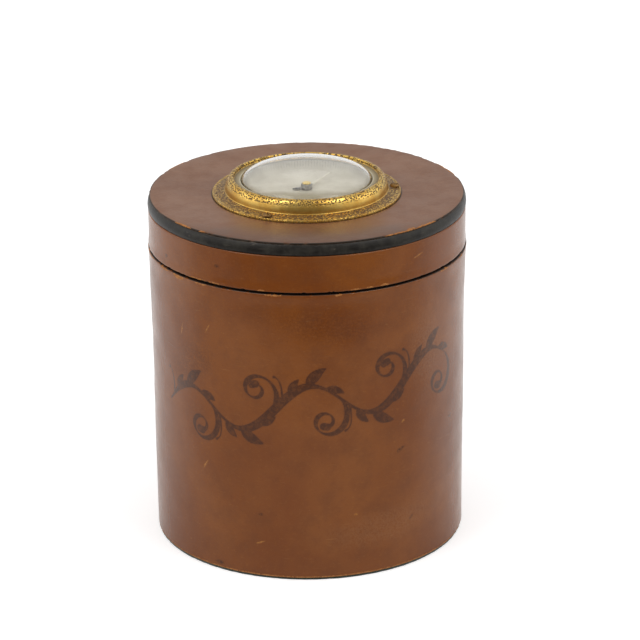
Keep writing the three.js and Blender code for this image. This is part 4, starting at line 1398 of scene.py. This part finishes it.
piece(bezel_ring(), bezel_metal("bezel_brass"), "lid", "hygrometer_bezel")
piece(dome_glass(), clear_glass("glass"), "lid", "hygrometer_glass", 35)
piece(spacer_ring(), paint, "lid", "glass_spacer")
piece(ring_mesh("dial_plate", DIAL_HOLE, *extent("dial"), 0.08), paint, "lid", "dial")
piece(pointer_hand(), hand_steel("hand_steel"), "pointer_set", "pointer")
cap = disc_mesh("cap_button", CAP_RADIUS, CAP_FOOT, CAP_TOP, 0.3, (0.06, 0.15), 48, 0.4 * MM)
piece(cap, cap_brass, "pointer_set", "pointer_cap")

piece(lining_wall(), cedar, "jar", "cedar_lining")
floor_board = disc_mesh("lining_floor", *extent("cedar_floor"), 0.3, (0.3, 0.3))
piece(floor_board, cedar, "jar", "cedar_floor")
piece(wall_core(), rim_beech, "jar", "body_core")
piece(lid_core(), rim_beech, "lid", "lid_ring")
lid_board = ring_mesh("lid_lining_board", LID_HOLE, *extent("lid_lining"), 0.3)
piece(lid_board, cedar, "lid", "lid_lining")
piece(tray_channel(), sheet_brass, "lid", "moistener_tray", 35)
piece(grille_plate(), sheet_brass, "lid", "air_grille", 35)
pad = piece(pad_ring(), pad_felt, "lid", "moistener_pad")
felt = piece(felt_disc(), green_felt, "jar", "base_felt")

fine_screws("bezel_screw", 3, screw_brass, (2.1, 1.4, 1.0, 6.4), sunk=0.4 * MM)
fine_screws("bridge_screw", 2, clean_brass, (1.5, 1.0, 0.8, 1.5))
fine_screws("grille_screw", 3, sheet_brass, (1.6, 1.0, 0.8, 3.6), underside=True)
fine_screws("tray_screw", 3, sheet_brass, (1.2, 0.9, 0.8, 3.2), underside=True)

KEPT_SOLIDS = {
    "base_board": beech,
    "lid_top_board": beech,
    "hygrometer_case": sheet_brass,
    "movement_bridge": clean_brass,
    "arbor": steel,
    "spiral_collet": clean_brass,
    "spiral_element": clean_brass,
    "anchor_post": clean_brass,
}
for node, material in KEPT_SOLIDS.items():
    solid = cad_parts[node].data
    solid.materials.clear()
    solid.materials.append(material)


# Stage

FLOOR_REACH = 6.0
FLOOR_WHITE = 0.86
FLOOR_GLOW = 0.4
FLOOR_LIGHT = -0.22
FLOOR_DARK = -0.38
FLOOR_NEAR = 0.5
FLOOR_MIRRORED = 0.5
WORLD_LIGHT = 0.7
CEILING = 0.6
FRONT_ROOM = 0.2
BACKDROP = 0.6


def stage_floor():
    """White paper for the camera; in reflections it is dark well in front of the jar and dimmer just in
    front of it, so that the jar's front mirrors a darker room there.
    """
    mesh = bpy.data.meshes.new("floor")
    corners = [(-FLOOR_REACH, -FLOOR_REACH, 0.0), (FLOOR_REACH, -FLOOR_REACH, 0.0),
               (FLOOR_REACH, FLOOR_REACH, 0.0), (-FLOOR_REACH, FLOOR_REACH, 0.0)]
    mesh.from_pydata(corners, [], [(0, 1, 2, 3)])
    floor = add_object("floor", mesh)
    floor.location.z = -0.1 * MM
    nodes = Nodes(bpy.data.materials.new("floor_paper"), "Material")
    across, along, up = nodes.make("NewGeometry", {}, "Position").parts()
    # Seen only in reflections: the share of white paper, dark in front of the jar.
    paper = along.span(FLOOR_DARK, FLOOR_LIGHT, 0.02, 1.0) * along.span(-0.12, 0.03, FLOOR_NEAR, 1.0)
    gloss = nodes.rays("Glossy")
    matt = nodes.make("BsdfDiffuse", {"Color": (gloss * (1.0 - paper)).mix(grey(FLOOR_WHITE), grey(0.0))})
    seen = nodes.rays("Camera").most(nodes.rays("Transmission")).most(gloss * (paper * FLOOR_MIRRORED))
    glow = nodes.make("Emission", {"Strength": seen * FLOOR_GLOW})
    mesh.materials.append(nodes.surface(nodes.make("AddShader", {0: matt, 1: glow})))


def studio_world():
    """White for the camera and glass; gloss sees it too, with a greyer ceiling and a dark room in front."""
    world = bpy.data.worlds.new("studio")
    bpy.context.scene.world = world
    nodes = Nodes(world, "World")
    x, y, z = nodes.make("TexCoord", {}, "Generated").parts()
    gloss = z.span(0.55, 0.85, 1.0, CEILING) * y.span(-0.92, -0.5, FRONT_ROOM, 1.0)
    gloss = gloss * y.span(0.55, 0.93, 1.0, BACKDROP)
    strength = nodes.rays("Glossy").mix(grey(WORLD_LIGHT), gloss)
    strength = nodes.rays("Camera").most(nodes.rays("Transmission")).mix(strength, grey(1.0))
    nodes.surface(nodes.make("Background", {"Color": strength}))


def soft_light(name, place, size, watts):
    """A round lamp that faces the jar."""
    lamp = bpy.data.lights.new(name, "AREA")
    lamp.shape = "DISK"
    lamp.size = size
    lamp.energy = watts
    light = add_object(name, lamp)
    light.location = place
    towards = Vector((0.0, 0.0, 0.1)) - Vector(place)
    light.rotation_euler = towards.to_track_quat("-Z", "Y").to_euler()


def photo_camera():
    lens = bpy.data.cameras.new("camera")
    lens.lens = CAMERA_LENS
    lens.sensor_width = CAMERA_SENSOR
    lens.sensor_fit = "HORIZONTAL"
    camera = add_object("camera", lens)
    flat = cos(CAMERA_PITCH)
    forward = Vector((sin(CAMERA_YAW) * flat, cos(CAMERA_YAW) * flat, -sin(CAMERA_PITCH)))
    level = Vector((cos(CAMERA_YAW), -sin(CAMERA_YAW), 0.0))
    upright = level.cross(forward)
    right = cos(CAMERA_ROLL) * level + sin(CAMERA_ROLL) * upright
    up = cos(CAMERA_ROLL) * upright - sin(CAMERA_ROLL) * level
    turn = Matrix((right, up, -forward)).transposed()
    camera.matrix_world = Matrix.Translation(CAMERA_PLACE) @ turn.to_4x4()
    bpy.context.scene.camera = camera


stage_floor()
studio_world()
soft_light("left_box", (-0.90, -0.70, 1.47), 1.0, 7.0)
soft_light("right_box", (0.92, -0.70, 1.47), 1.0, 6.4)
soft_light("left_fill", (-1.75, 0.1, 0.75), 1.0, 2.0)
soft_light("right_fill", (1.75, 0.1, 0.75), 1.0, 1.7)
soft_light("back_disc", (0.0, 1.84, 1.38), 0.5, 0.2)
photo_camera()
bpy.context.scene.view_settings.view_transform = "Standard"
